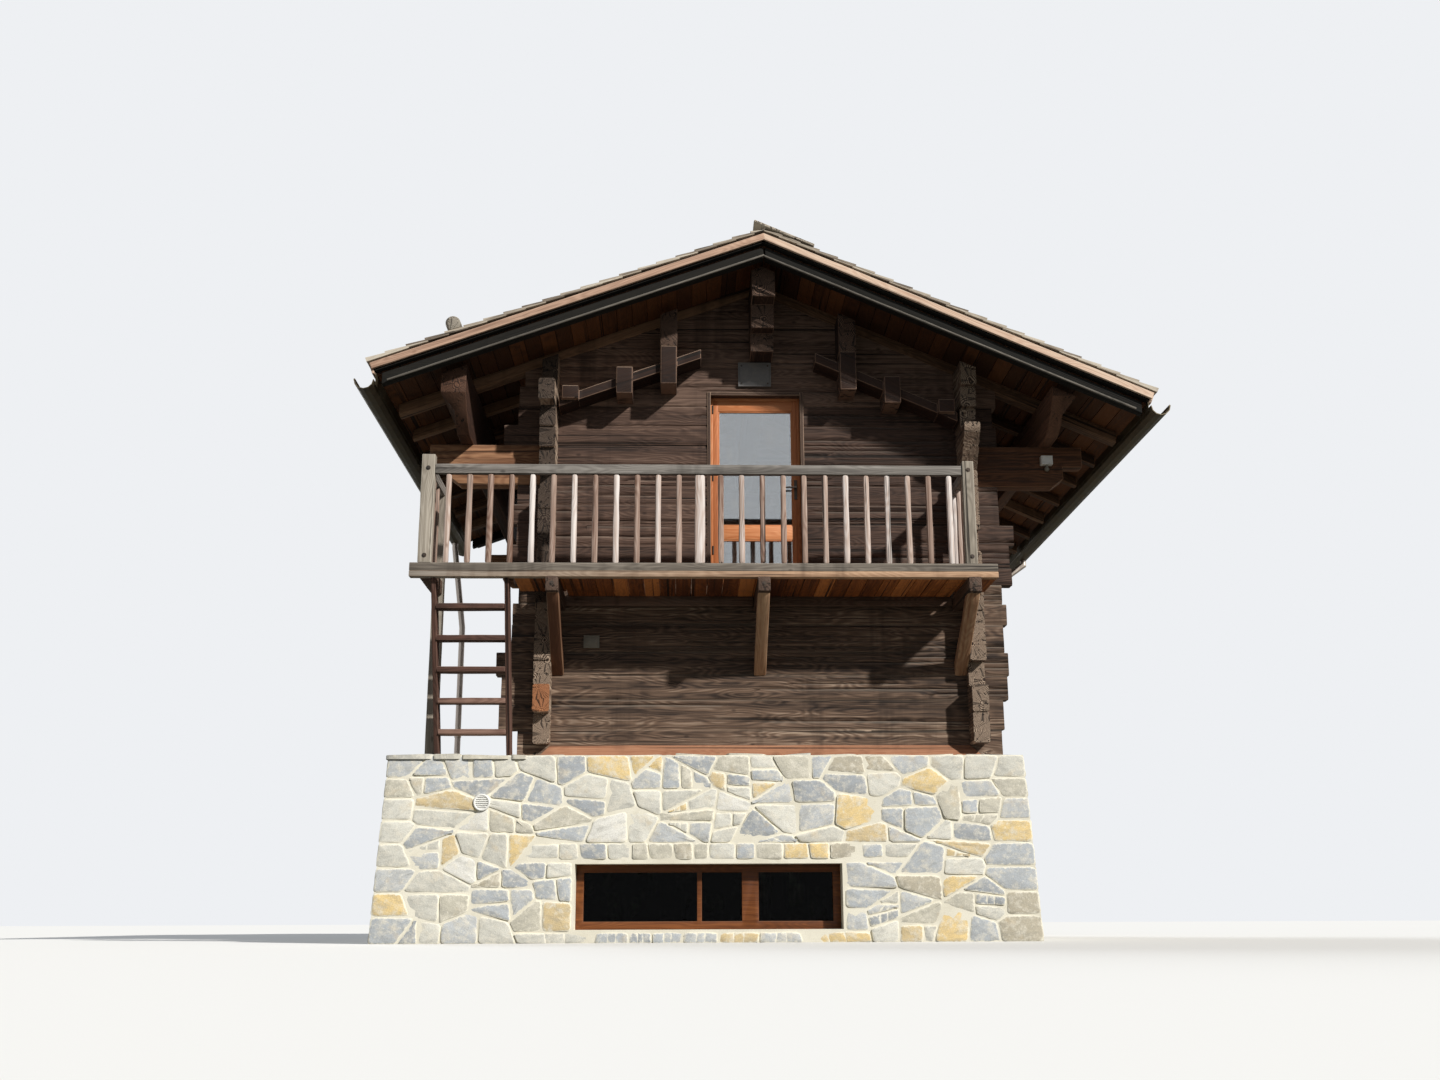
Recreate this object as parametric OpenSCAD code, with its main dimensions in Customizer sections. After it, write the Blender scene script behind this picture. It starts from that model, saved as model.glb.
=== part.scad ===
// Alpine chalet: a log house on a rubble-stone basement with a side terrace, a front
// balcony reached by a ladder stair, and a low shingled roof carried on purlins.
// Millimetres. +X right, +Y to the back, +Z up. The origin is at the lowest ground level,
// under the middle of the log house.

/* [Log house] */
// Outer width of the log house across the front
house_w = 4540; // [4400:10:4700]
// Outer depth of the log house, front to back
house_d = 4900; // [4600:50:5200]
// Thickness of the log walls
log_t = 165; // [150:5:180]
// Chamfer along each log, which makes the groove between two courses
log_chamfer = 14; // [6:1:20]

/* [Stone basement] */
// Height of the stone basement above the lowest ground
stone_top = 1750; // [1700:10:1800]
// Left end of the stonework's top, which carries the terrace
stone_left = 3610; // [3550:10:3700]
// Right end of the stonework's top
stone_right = 2530; // [2500:10:2600]
// How far the side walls' faces lean out down to their foot
stone_batter = 100; // [40:10:120]
// Ledge of the stonework in front of the log wall
ledge_front = 450; // [400:10:480]
// Ledge of the stonework behind the log wall
ledge_back = 350; // [320:10:380]
// Thickness of the stone walls
stone_t = 400; // [360:10:440]
// Thickness of the flagstone coping
coping_t = 50; // [40:5:60]

/* [Basement window] */
// Left side of the opening, measured from the middle of the house
window_x = -1800; // [-1900:10:-1700]
// Width of the opening
window_w = 2540; // [2300:10:2600]
// Height of the opening's top edge
window_top = 725; // [660:5:760]
// Height of the opening's bottom edge
window_sill = 120; // [100:10:160]

/* [Balcony] */
// Distance from the log wall to the front of the balcony
balcony_d = 930; // [880:10:960]
// Left end of the front beam, beyond the ladder stair
balcony_left = 3420; // [3400:5:3450]
// Right end of the front beam
balcony_right = 2280; // [2275:5:2320]
// Height of the top rail above the front beam
rail_h = 1000; // [950:10:1050]
// Distance between two balusters
baluster_gap = 205; // [200:1:208]
// Width of a baluster
baluster_w = 55; // [45:1:60]

/* [Door] */
// Left side of the door opening
door_x = -530; // [-540:10:-520]
// Width of the door opening
door_w = 1020; // [1000:10:1040]
// Height of the door opening
door_h = 2100; // [2060:10:2120]

/* [Roof] */
// Distance of the left eave from the middle of the house
left_reach = 3950; // [3930:5:3980]
// Distance of the right eave from the middle of the house
right_reach = 3985; // [3960:5:4010]
// Distance of the ridge to the right of the middle
ridge_x = 40; // [0:5:50]
// Height of the ridge
ridge_z = 7095; // [7080:5:7130]
// Height of the roof's top at the left eave
left_eave_z = 5630; // [5610:5:5650]
// Height of the roof's top at the right eave; the right slope is the steeper one
right_eave_z = 5355; // [5335:5:5375]
// Overhang of the roof in front of the log wall
roof_front = 950; // [930:10:980]
// Overhang of the roof behind the log wall
roof_back = 880; // [850:10:900]

/* [Hidden] */

// Finish colours, for telling the pieces apart
stone_c = "#b9b9b2";
coping_c = "#a9a69c";
log_c = "#4a382c";
old_wood_c = "#8e8679";
tan_wood_c = "#b98f6b";
red_wood_c = "#a35d43";
orange_wood_c = "#b56a35";
shingle_c = "#c2b6a6";
metal_c = "#6a6058";
glass_c = [0.25, 0.3, 0.35, 0.6];

// Overlap that lets a cut run clear through a solid
cut = 5;

// Levels and planes that the driving sizes give
half_w = house_w / 2;
front_y = -house_d / 2;
back_y = house_d / 2;
inner_x = half_w - log_t;
stone_front_y = front_y - ledge_front;
stone_back_y = back_y + ledge_back;
wall_top = stone_top - coping_t;
balcony_y = front_y - balcony_d;
verge_y = front_y - roof_front;
rear_verge_y = back_y + roof_back;
left_slope = (ridge_z - left_eave_z) / (left_reach + ridge_x);
right_slope = (ridge_z - right_eave_z) / (right_reach - ridge_x);

// Heights of the log courses, from the stonework up; the logs are hewn by hand and differ
course_h = [304, 303, 247, 238, 287, 216, 205, 184, 235, 221, 210, 210,
            220, 220, 220, 220, 220, 220, 220, 220, 220, 220];
courses = len(course_h);
// Course on which the balcony door stands, and the one that its head cuts into
door_course = 7;
head_course = 16;
// The two courses whose logs run on as the arms under the eave purlins
arm_courses = [12, 13];
// Lengths by which the log ends pass the corners; the corners take turns along the list
log_ends = [355, 340, 400, 255, 250, 195, 250, 270, 235, 280, 240];
first_end = 165;
// Lengths by which the side walls' log ends pass the front and the back
side_ends = [235, 245, 110, 240, 225, 240, 230, 245, 120, 240, 235];
// The side walls' upper logs have lengths of their own: on the right, two of them make a
// console whose end is cut to a slant
console_course = 13;
console_out_right = [490, 500, 290, 350, 420, 420];
console_out_left = [260, 300, 320, 520, 190, 190];
console_slant = 0.75;
// The roof's layers, as depths below its top surface
shingle_d = 50;
verge_board_d = 130;
board_d = 180;
trim_d = 245;
rafter_d = 290;

function sum_to(v, n) = n <= 0 ? 0 : v[n - 1] + sum_to(v, n - 1);
// Underside of a log of the front and back walls
function bed(i) = stone_top + sum_to(course_h, i);
// Underside of a log of the side walls, half a course out of step
function side_bed(i) = i <= 0 ? stone_top : (bed(i - 1) + bed(i)) / 2;
// Faces where the notched logs lie on each other in the corners, from the bottom up
function lap(k) = k % 2 == 0
    ? (bed(k / 2) + side_bed(k / 2 + 1)) / 2
    : (side_bed((k + 1) / 2) + bed((k + 1) / 2)) / 2;
function is_arm(i) = i == arm_courses[0] || i == arm_courses[1];
function end_length(i, corner) = is_arm(i) ? 0 : i == 0 ? first_end : log_ends[(i - 1 + corner) % len(log_ends)];
function side_end_length(i, corner, consoles) = i == 0 ? 0
    : i >= console_course ? consoles[i - console_course]
    : side_ends[(i - 1 + corner) % len(side_ends)];
// Height of a roof layer on one side, 1 for the right and -1 for the left, at a distance x
// from the middle of the house; the depth is measured square to the slope
function slope_of(side) = side > 0 ? right_slope : left_slope;
function layer_z(side, x, depth) = ridge_z - (x - side * ridge_x) * slope_of(side)
    - depth * sqrt(1 + pow(slope_of(side), 2));
// The same inside both_sides(), which sets $side; there the ridge is at a distance ridge()
function roof_z(x, depth) = layer_z($side, x, depth);
function reach() = $side > 0 ? right_reach : left_reach;
function ridge() = $side * ridge_x;

// A box given by its lowest and highest corners
module block(low, high) {
    translate(low) cube(high - low);
}

// One side of the house, drawn as if it were the right-hand one
module one_side(side) {
    let ($side = side) scale([side, 1, 1]) children();
}

module both_sides() {
    one_side(1) children();
    one_side(-1) children();
}

// An outline in the XZ plane, run from y0 to y1
module run_y(y0, y1) {
    translate([0, y1, 0]) rotate([90, 0, 0]) linear_extrude(y1 - y0) children();
}

// An outline in the YZ plane, run from x0 to x1
module run_x(x0, x1) {
    translate([x0, 0, 0]) rotate([90, 0, 90]) linear_extrude(x1 - x0) children();
}

// A chamfered log section with its lower left corner at the origin
module log_section(w, h) {
    c = log_chamfer;
    polygon([[c, 0], [w - c, 0], [w, c], [w, h - c], [w - c, h], [c, h], [0, h - c], [0, c]]);
}

// One layer of a roof slope, cut plumb at both ends
module roof_layer(x0, x1, d0, d1, y0, y1) {
    run_y(y0, y1) polygon([
        [x0, roof_z(x0, d1)], [x1, roof_z(x1, d1)], [x1, roof_z(x1, d0)], [x0, roof_z(x0, d0)]
    ]);
}

// Everything under a layer of the roof
module under_roof(depth) {
    peak = (left_slope * layer_z(1, ridge_x, depth) + right_slope * layer_z(-1, -ridge_x, depth))
        / (left_slope + right_slope);
    peak_x = ridge_x + (layer_z(1, ridge_x, depth) - peak) / right_slope;
    run_y(verge_y - 200, rear_verge_y + 200) polygon([
        [-left_reach, 0], [right_reach, 0], [right_reach, layer_z(1, right_reach, depth)],
        [peak_x, peak], [-left_reach, layer_z(-1, left_reach, depth)]
    ]);
}

// Everything under a layer of one slope
module under_slope(depth) {
    run_y(verge_y - 200, rear_verge_y + 200) polygon([
        [ridge(), 0], [reach(), 0], [reach(), roof_z(reach(), depth)], [ridge(), roof_z(ridge(), depth)]
    ]);
}

// Logs first to last-1 of a front or back wall, notched over the side walls
module cross_logs(first, last, y0, corner) {
    for (i = [first : last - 1]) {
        x0 = -half_w - end_length(i, corner);
        x1 = half_w + end_length(i, corner + 5);
        difference() {
            translate([0, y0, bed(i)]) run_x(x0, x1) log_section(log_t, course_h[i]);
            for (x = [-half_w, inner_x]) {
                block([x, y0 - cut, bed(i) - cut], [x + log_t, y0 + log_t + cut, lap(2 * i)]);
                block([x, y0 - cut, lap(2 * i + 1)], [x + log_t, y0 + log_t + cut, bed(i + 1) + cut]);
            }
        }
    }
}

// All logs of a side wall, notched over the front and back walls; the last one reaches up
// into the roof
module side_logs(last, corner, consoles) {
    for (i = [0 : last - 1]) {
        y0 = front_y - side_end_length(i, corner, consoles);
        y1 = back_y + side_end_length(i, corner + 4, consoles);
        low = side_bed(i);
        high = i == last - 1 ? ridge_z : side_bed(i + 1);
        difference() {
            translate([inner_x, 0, low]) run_y(y0, y1) log_section(log_t, high - low);
            for (y = [front_y, back_y - log_t]) {
                if (i > 0)
                    block([inner_x - cut, y, low - cut], [half_w + cut, y + log_t, lap(2 * i - 1)]);
                block([inner_x - cut, y, lap(2 * i)], [half_w + cut, y + log_t, high + cut]);
            }
            // the lowest two consoles are cut to one slant underneath, where they stand out
            if (consoles[0] > 400 && (i == console_course || i == console_course + 1))
                for (end = [[front_y - consoles[1], 1], [back_y + consoles[1], -1]])
                    run_x(inner_x - cut, half_w + cut) polygon([
                        [end[0] - cut * end[1], side_bed(console_course + 2) - 60],
                        [end[0] + end[1] * console_slant * (side_bed(console_course + 2) - 60 - side_bed(console_course) + cut),
                         side_bed(console_course) - cut],
                        [end[0] - cut * end[1], side_bed(console_course) - cut]
                    ]);
        }
    }
}

// The rafters of both slopes: one at each verge, one on each gable, five between
gable_rafter_w = log_t;
rafter_w = 100;
rafter_step = (house_d - log_t) / 6;
module rafters_shape() {
    both_sides() {
        for (y = [verge_y + 40, rear_verge_y - 40 - rafter_w])
            roof_layer(ridge() + 8, reach() - 160, board_d, rafter_d, y, y + rafter_w);
        for (k = [-3 : 3]) {
            y = k * rafter_step;
            w = abs(k) == 3 ? gable_rafter_w : rafter_w;
            roof_layer(ridge() + 8, reach() - 160, board_d, rafter_d, y - w / 2, y + w / 2);
        }
    }
}

// Ridge purlin: stacked logs, the lower two cut back in steps
ridge_purlin_w = 240;
ridge_steps = [[6450, 250], [6190, 470], [5990, 630]];
module ridge_purlin_shape() {
    intersection() {
        under_roof(rafter_d);
        union() {
            for (k = [0 : 2]) {
                z0 = ridge_steps[k][0];
                z1 = k == 0 ? ridge_z : ridge_steps[k - 1][0];
                block([ridge_x - ridge_purlin_w / 2, verge_y + ridge_steps[k][1], z0],
                      [ridge_x + ridge_purlin_w / 2, rear_verge_y - ridge_steps[k][1], z1]);
            }
        }
    }
}

mid_purlin_x = 940;
mid_purlin_w = 180;
mid_purlin_d = 655;
mid_purlin_out = 350;
module mid_purlins_shape() {
    both_sides() intersection() {
        under_slope(rafter_d);
        block([mid_purlin_x - mid_purlin_w / 2, front_y - mid_purlin_out, roof_z(mid_purlin_x, mid_purlin_d)],
              [mid_purlin_x + mid_purlin_w / 2, back_y + mid_purlin_out, ridge_z]);
    }
}

// Basement

// Outline of a front or back wall, wider at the foot
module wall_outline() {
    polygon([[-stone_left - stone_batter, 0], [stone_right + stone_batter, 0],
             [stone_right, wall_top], [-stone_left, wall_top]]);
}

module front_stone_wall() {
    color(stone_c) difference() {
        run_y(stone_front_y, stone_front_y + stone_t) wall_outline();
        block([window_x, stone_front_y - cut, window_sill],
              [window_x + window_w, stone_front_y + stone_t + cut, window_top]);
    }
}

module back_stone_wall() {
    color(stone_c) run_y(stone_back_y - stone_t, stone_back_y) wall_outline();
}

module left_stone_wall() {
    color(stone_c) run_y(stone_front_y + stone_t, stone_back_y - stone_t) polygon([
        [-stone_left - stone_batter, 0], [-stone_left + stone_t, 0],
        [-stone_left + stone_t, wall_top], [-stone_left, wall_top]
    ]);
}

module right_stone_wall() {
    color(stone_c) run_y(stone_front_y + stone_t, stone_back_y - stone_t) polygon([
        [stone_right - stone_t, 0], [stone_right + stone_batter, 0],
        [stone_right, wall_top], [stone_right - stone_t, wall_top]
    ]);
}

// The terrace and the ledges round the log house, four slabs with open joints between
coping_joint = 4;
module stone_coping() {
    g = coping_joint;
    color(coping_c) {
        block([-stone_left, stone_front_y, wall_top], [-half_w - g, stone_back_y, stone_top]);
        block([-half_w, stone_front_y, wall_top], [stone_right, front_y - g, stone_top]);
        block([-half_w, back_y + g, wall_top], [stone_right, stone_back_y, stone_top]);
        block([half_w + g, front_y, wall_top], [stone_right, back_y, stone_top]);
    }
}

basement_floor_t = 120;
module basement_floor() {
    color("#9a9a96") block([-stone_left + stone_t, stone_front_y + stone_t, 0],
                           [stone_right - stone_t, stone_back_y - stone_t, basement_floor_t]);
}

// Slab over the basement, with the raised part that the log house stands on
ground_slab_t = 200;
module ground_floor() {
    color("#9a9a96") {
        block([-stone_left + stone_t, stone_front_y + stone_t, wall_top - ground_slab_t],
              [stone_right - stone_t, stone_back_y - stone_t, wall_top]);
        block([-half_w, front_y, wall_top], [half_w, back_y, stone_top]);
    }
}

upper_floor_t = 150;
module upper_floor() {
    color(tan_wood_c) block([-inner_x, front_y + log_t, bed(door_course) - upper_floor_t],
                            [inner_x, back_y - log_t, bed(door_course)]);
}

// The window lies deep in the wall: an outer frame, a wide mullion and a thin bar
frame_w = 75;
frame_y = stone_front_y + 190;
frame_t = 70;
mullion_x = -210;
mullion_w = 160;
thin_bar_x = -640;
thin_bar_w = 45;
module basement_window_frame() {
    color(orange_wood_c) difference() {
        block([window_x, frame_y, window_sill], [window_x + window_w, frame_y + frame_t, window_top]);
        for (pane = window_panes)
            block([pane[0], frame_y - cut, window_sill + frame_w],
                  [pane[1], frame_y + frame_t + cut, window_top - frame_w]);
    }
}

window_panes = [
    [window_x + frame_w, thin_bar_x],
    [thin_bar_x + thin_bar_w, mullion_x],
    [mullion_x + mullion_w, window_x + window_w - frame_w]
];
pane_t = 20;
module basement_window_glass() {
    y0 = frame_y + (frame_t - pane_t) / 2;
    color(glass_c) for (pane = window_panes)
        block([pane[0], y0, window_sill + frame_w], [pane[1], y0 + pane_t, window_top - frame_w]);
}

vent_x = -2700;
vent_z = 1300;
vent_r = 82;
module vent_cap() {
    color("white") translate([vent_x, stone_front_y, vent_z]) rotate([90, 0, 0]) rotate_extrude($fn = 48)
        polygon([[0, 0], [vent_r, 0], [vent_r, 10], [vent_r - 14, 26], [vent_r - 40, 34], [0, 38]]);
}

// Sloped boards between the corners that throw the rain off the foot of the logs
skirt_h = 150;
skirt_out = 165;
skirt_t = 32;
skirt_splay = 125;
module skirt_board(half, splay) {
    intersection() {
        run_x(-half - splay, half + splay)
            polygon([[0, skirt_h], [0, skirt_h - skirt_t], [skirt_t - skirt_out, 0], [-skirt_out, 0]]);
        run_y(-skirt_out - cut, cut)
            polygon([[-half - splay, 0], [half + splay, 0], [half, skirt_h], [-half, skirt_h]]);
    }
}

module sill_skirt() {
    side_half = house_d / 2 - log_t - 10;
    color(red_wood_c) translate([0, 0, stone_top]) {
        translate([0, front_y, 0]) skirt_board(inner_x, skirt_splay);
        translate([0, back_y, 0]) rotate([0, 0, 180]) skirt_board(inner_x, skirt_splay);
        translate([half_w, 0, 0]) rotate([0, 0, 90]) skirt_board(side_half, 0);
        translate([-half_w, 0, 0]) rotate([0, 0, -90]) skirt_board(side_half, 0);
    }
}

// Log walls

module front_wall() {
    color(log_c) cross_logs(0, door_course, front_y, 0);
}

module back_wall() {
    color(log_c) cross_logs(0, door_course, back_y - log_t, 3);
}

module side_wall(last, corner, consoles) {
    intersection() {
        under_slope(rafter_d);
        side_logs(last, corner, consoles);
    }
    rafter_blocking();
}

module right_wall() {
    color(log_c) one_side(1) side_wall(18, 0, console_out_right);
}

module left_wall() {
    color(log_c) one_side(-1) side_wall(19, 2, console_out_left);
}

// Closes the side wall between the rafters, up to the roof boards
module rafter_blocking() {
    difference() {
        roof_layer(inner_x, half_w, board_d, rafter_d, front_y + log_t, back_y - log_t);
        rafters_shape();
    }
}

door_z = bed(door_course);
module door_opening() {
    block([door_x, front_y - 400, door_z], [door_x + door_w, front_y + log_t + cut, door_z + door_h]);
}

module front_door_walls() {
    color(log_c) difference() {
        cross_logs(door_course, head_course, front_y, 0);
        door_opening();
    }
}

module front_gable() {
    color(log_c) difference() {
        intersection() {
            under_roof(rafter_d);
            cross_logs(head_course, courses, front_y, 0);
        }
        door_opening();
        ridge_purlin_shape();
        mid_purlins_shape();
    }
}

module back_gable() {
    color(log_c) difference() {
        intersection() {
            under_roof(rafter_d);
            cross_logs(door_course, courses, back_y - log_t, 3);
        }
        ridge_purlin_shape();
        mid_purlins_shape();
    }
}

// Balcony door

casing_w = 60;
casing_out = 12;
sill_board_t = 40;
module door_casing() {
    color(orange_wood_c) difference() {
        block([door_x, front_y - casing_out, door_z],
              [door_x + door_w, front_y + log_t, door_z + door_h]);
        block([door_x + casing_w, front_y - casing_out - cut, door_z + sill_board_t],
              [door_x + door_w - casing_w, front_y + log_t + cut, door_z + door_h - casing_w]);
    }
}

leaf_y = front_y + 90;
leaf_t = 60;
stile_w = 56;
top_rail_w = 120;
mid_rail_z = [door_z + 500, door_z + 650];
bottom_rail_w = 130;
leaf_x = [door_x + casing_w, door_x + door_w - casing_w];
leaf_z = [door_z + sill_board_t, door_z + door_h - casing_w];
door_panes = [[leaf_z[0] + bottom_rail_w, mid_rail_z[0]], [mid_rail_z[1], leaf_z[1] - top_rail_w]];
module door_leaf() {
    color(orange_wood_c) difference() {
        block([leaf_x[0], leaf_y, leaf_z[0]], [leaf_x[1], leaf_y + leaf_t, leaf_z[1]]);
        for (pane = door_panes)
            block([leaf_x[0] + stile_w, leaf_y - cut, pane[0]],
                  [leaf_x[1] - stile_w, leaf_y + leaf_t + cut, pane[1]]);
    }
}

module door_glass() {
    y0 = leaf_y + (leaf_t - pane_t) / 2;
    color(glass_c) for (pane = door_panes)
        block([leaf_x[0] + stile_w, y0, pane[0]], [leaf_x[1] - stile_w, y0 + pane_t, pane[1]]);
}

// Small things on the walls

plate_x = -200;
plate_z = 5710;
plate_size = [350, 30, 270];
module gable_plate() {
    color("#8b8a86") translate([plate_x, front_y - plate_size[1], plate_z]) cube(plate_size);
}

socket_x = -1790;
socket_z = 2880;
socket_size = [160, 40, 130];
module socket_box() {
    color("#7c7b74") translate([socket_x, front_y - socket_size[1], socket_z]) cube(socket_size);
}

// A small floodlight with a round sensor under it, on the right-hand arm
lamp_x = 3050;
lamp_z = 4840;
module wall_lamp() {
    color("white") translate([lamp_x, front_y, lamp_z]) {
        block([-60, -75, 0], [60, 0, 95]);
        block([-12, -52, -30], [12, -28, 0]);
        translate([0, -40, -45]) sphere(d = 52, $fn = 32);
    }
}

// Balcony

beam_z = [door_z - 138, door_z];
beam_w = 100;
joist_x = 2045;
joist_w = 120;
joist_h = 142;
joist_z = beam_z[0] - joist_h;
plank_z = [beam_z[0], beam_z[0] + 45];
plank_left = -2420;
rear_post_y = front_y - 110;
rear_post_w = 110;
rear_post_x = -3330;
trimmer_w = 100;

module balcony_beam() {
    color(old_wood_c)
        block([-balcony_left, balcony_y, beam_z[0]], [balcony_right, balcony_y + beam_w, beam_z[1]]);
}

// Three joists under the beam, the ledger on the wall between them, and the trimmer that
// ties the beam's left end back to the rear post
module balcony_joists() {
    gap = 3;
    color(old_wood_c) {
        for (x = [-joist_x, 0, joist_x])
            block([x - joist_w / 2, balcony_y - 25, joist_z], [x + joist_w / 2, front_y, beam_z[0]]);
        for (x = [-joist_x, 0])
            block([x + joist_w / 2 + gap, front_y - 60, joist_z + 45],
                  [x + joist_x - joist_w / 2 - gap, front_y, plank_z[0]]);
        block([rear_post_x, balcony_y + beam_w, beam_z[0]],
              [rear_post_x + trimmer_w, rear_post_y, beam_z[1]]);
    }
}

// The planks run front to back, notched round the side walls' log ends
module balcony_planks() {
    color(orange_wood_c) difference() {
        block([plank_left, balcony_y + beam_w, plank_z[0]], [balcony_right, front_y, plank_z[1]]);
        for (x = [-half_w, inner_x])
            block([x - 6, front_y - 260, plank_z[0] - cut], [x + log_t + 6, front_y + cut, plank_z[1] + cut]);
        block([half_w, front_y - 260, plank_z[0] - cut],
              [balcony_right + cut, front_y + cut, plank_z[1] + cut]);
    }
}

// Knee braces from the foot on the wall to the joist's head
brace_foot_z = 2600;
brace_t = 110;
module balcony_braces() {
    run = balcony_d - 60;
    color(old_wood_c) for (x = [-joist_x, 0, joist_x])
        run_x(x - joist_w / 2, x + joist_w / 2) polygon([
            [front_y, brace_foot_z], [front_y, brace_foot_z + brace_t * 1.3],
            [front_y - run + brace_t * 1.3, joist_z], [front_y - run, joist_z]
        ]);
}

left_post_x = -3345;
left_post_w = 130;
left_post_h = 1095;
right_post_x = 1975;
right_post_w = 110;
right_post_h = 1045;
module balcony_posts() {
    color(old_wood_c) {
        block([left_post_x, balcony_y, beam_z[1]],
              [left_post_x + left_post_w, balcony_y + beam_w, beam_z[1] + left_post_h]);
        block([right_post_x, balcony_y, beam_z[1]],
              [right_post_x + right_post_w, balcony_y + beam_w, beam_z[1] + right_post_h]);
        // the rear post stands on the terrace and carries the stair side's rail
        block([rear_post_x, rear_post_y, stone_top],
              [rear_post_x + rear_post_w, rear_post_y + rear_post_w, beam_z[1] + rail_h]);
    }
}

rail_w = 70;
rail_t = 95;
rail_z = [beam_z[1] + rail_h - rail_t, beam_z[1] + rail_h];
side_rail_x = [left_post_x + 35, right_post_x + 20];
module balcony_rails() {
    y0 = balcony_y + 15;
    color(old_wood_c) {
        block([left_post_x + left_post_w, y0, rail_z[0]], [right_post_x, y0 + rail_w, rail_z[1]]);
        block([side_rail_x[0], balcony_y + beam_w, rail_z[0]],
              [side_rail_x[0] + rail_w, rear_post_y, rail_z[1]]);
        block([side_rail_x[1], balcony_y + beam_w, rail_z[0]],
              [side_rail_x[1] + rail_w, front_y, rail_z[1]]);
    }
}

first_baluster_x = -3080;
balusters_n = 25;
wide_baluster = 12;
wide_baluster_w = 100;
side_baluster_step = 230;
module balusters() {
    color(tan_wood_c) {
        for (k = [0 : balusters_n - 1]) {
            x = first_baluster_x + k * baluster_gap;
            w = k == wide_baluster ? wide_baluster_w : baluster_w;
            block([x - w / 2, balcony_y + 22, beam_z[1]],
                  [x + w / 2, balcony_y + 22 + baluster_w, rail_z[0]]);
        }
        // return rails at both ends
        for (k = [1 : 3]) {
            y = balcony_y + beam_w + k * side_baluster_step - baluster_w;
            block([side_rail_x[1] + 8, y, plank_z[1]],
                  [side_rail_x[1] + 8 + baluster_w, y + baluster_w, rail_z[0]]);
            if (k < 3)
                block([side_rail_x[0] + 8, y, beam_z[1]],
                      [side_rail_x[0] + 8 + baluster_w, y + baluster_w, rail_z[0]]);
        }
    }
}

// Ladder stair, from the terrace forward and up to the balcony's left end

stair_x = [-3215, -2465];
stringer_t = 45;
stringer_w = 160;
stair_foot_y = front_y - 230;
stair_head_y = balcony_y + 50;
stair_lean = (stair_foot_y - stair_head_y) / (beam_z[0] - stone_top);
first_tread_z = 2020;
tread_step = 290;
treads_n = 5;
tread_t = 40;
// Front edge of the stringers at a height
function stringer_y(z) = stair_foot_y - (z - stone_top) * stair_lean;

module stair_stringers() {
    color(red_wood_c) for (x = [stair_x[0], stair_x[1] - stringer_t])
        run_x(x, x + stringer_t) polygon([
            [stringer_y(stone_top), stone_top], [stringer_y(stone_top) + stringer_w, stone_top],
            [stringer_y(beam_z[0]) + stringer_w, beam_z[0]], [stringer_y(beam_z[0]), beam_z[0]]
        ]);
}

module stair_treads() {
    color(red_wood_c) for (k = [0 : treads_n - 1]) {
        z = first_tread_z + k * tread_step;
        y = stringer_y(z) + 4;
        block([stair_x[0] + stringer_t, y, z - tread_t],
              [stair_x[1] - stringer_t, y + stringer_w - 10, z]);
    }
}

// Roof

module ridge_purlin() {
    color(log_c) ridge_purlin_shape();
}

module mid_purlins() {
    color(log_c) mid_purlins_shape();
}

// Each eave purlin lies on a narrower bolster; their ends are cut to one curve, like a bow,
// and the purlin's outer edge is hewn off underneath
eave_purlin_x = [2985, 3240];
bolster_w = 130;
bolster_z = bed(arm_courses[1] + 1);
bolster_h = 180;
bolster_out = 560;
bolster_foot = 300;
module eave_purlins() {
    x0 = eave_purlin_x[0];
    x1 = eave_purlin_x[1];
    foot = bolster_z + bolster_h;
    color(log_c) both_sides() {
        intersection() {
            under_slope(rafter_d);
            run_y(verge_y, rear_verge_y) polygon([
                [x0, foot], [x0 + bolster_w, foot], [x1, foot + 150], [x1, ridge_z], [x0, ridge_z]
            ]);
            run_x(x0, x1) polygon([
                [verge_y + 390, bolster_z + bolster_h], [rear_verge_y - 320, bolster_z + bolster_h],
                [rear_verge_y - 180, bolster_z + bolster_h + 150], [rear_verge_y - 180, ridge_z],
                [verge_y + 250, ridge_z], [verge_y + 250, bolster_z + bolster_h + 150]
            ]);
        }
        run_x(x0, x0 + bolster_w) polygon([
            [front_y - bolster_out, bolster_z + bolster_h], [front_y - bolster_out + 110, bolster_z + 75],
            [front_y - bolster_foot, bolster_z], [back_y + bolster_foot, bolster_z],
            [back_y + bolster_out - 110, bolster_z + 75], [back_y + bolster_out, bolster_z + bolster_h]
        ]);
    }
}

// Arms that carry the eave purlins: two gable logs run on past the side walls
arm_reach = 3440;
module eave_arms() {
    z0 = bed(arm_courses[0]);
    z1 = bed(arm_courses[1]);
    z2 = bolster_z;
    color(log_c) both_sides() for (y = [front_y, back_y - log_t])
        run_y(y, y + log_t) polygon([
            [half_w, z0], [arm_reach - 330, z0], [arm_reach - 210, z0 + 90], [arm_reach - 210, z1],
            [arm_reach, z1], [arm_reach, z2], [half_w, z2]
        ]);
}

// Stepped brackets on the gables: a sloping timber with log ends on it, on each side
bracket_d = 785;
bracket_t = 95;
bracket_x = [600, 2080];
bracket_out = [290, 350];
// Middle, depth of the top under the roof, and height of each log end
bracket_ends = [[940, 655, 420], [1400, 720, 290], [1960, 722, 140]];
bracket_end_w = 170;
module bracket_pair() {
    both_sides() {
        run_y(0, bracket_out[0]) polygon([
            [bracket_x[0], roof_z(bracket_x[0], bracket_d + bracket_t)],
            [bracket_x[1], roof_z(bracket_x[1], bracket_d + bracket_t)],
            [bracket_x[1], roof_z(bracket_x[1], bracket_d)],
            [bracket_x[0], roof_z(bracket_x[0], bracket_d)]
        ]);
        for (end = bracket_ends) {
            z = roof_z(end[0], end[1]);
            block([end[0] - bracket_end_w / 2, 0, z - end[2]],
                  [end[0] + bracket_end_w / 2, bracket_out[1], z]);
        }
    }
}

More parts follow.
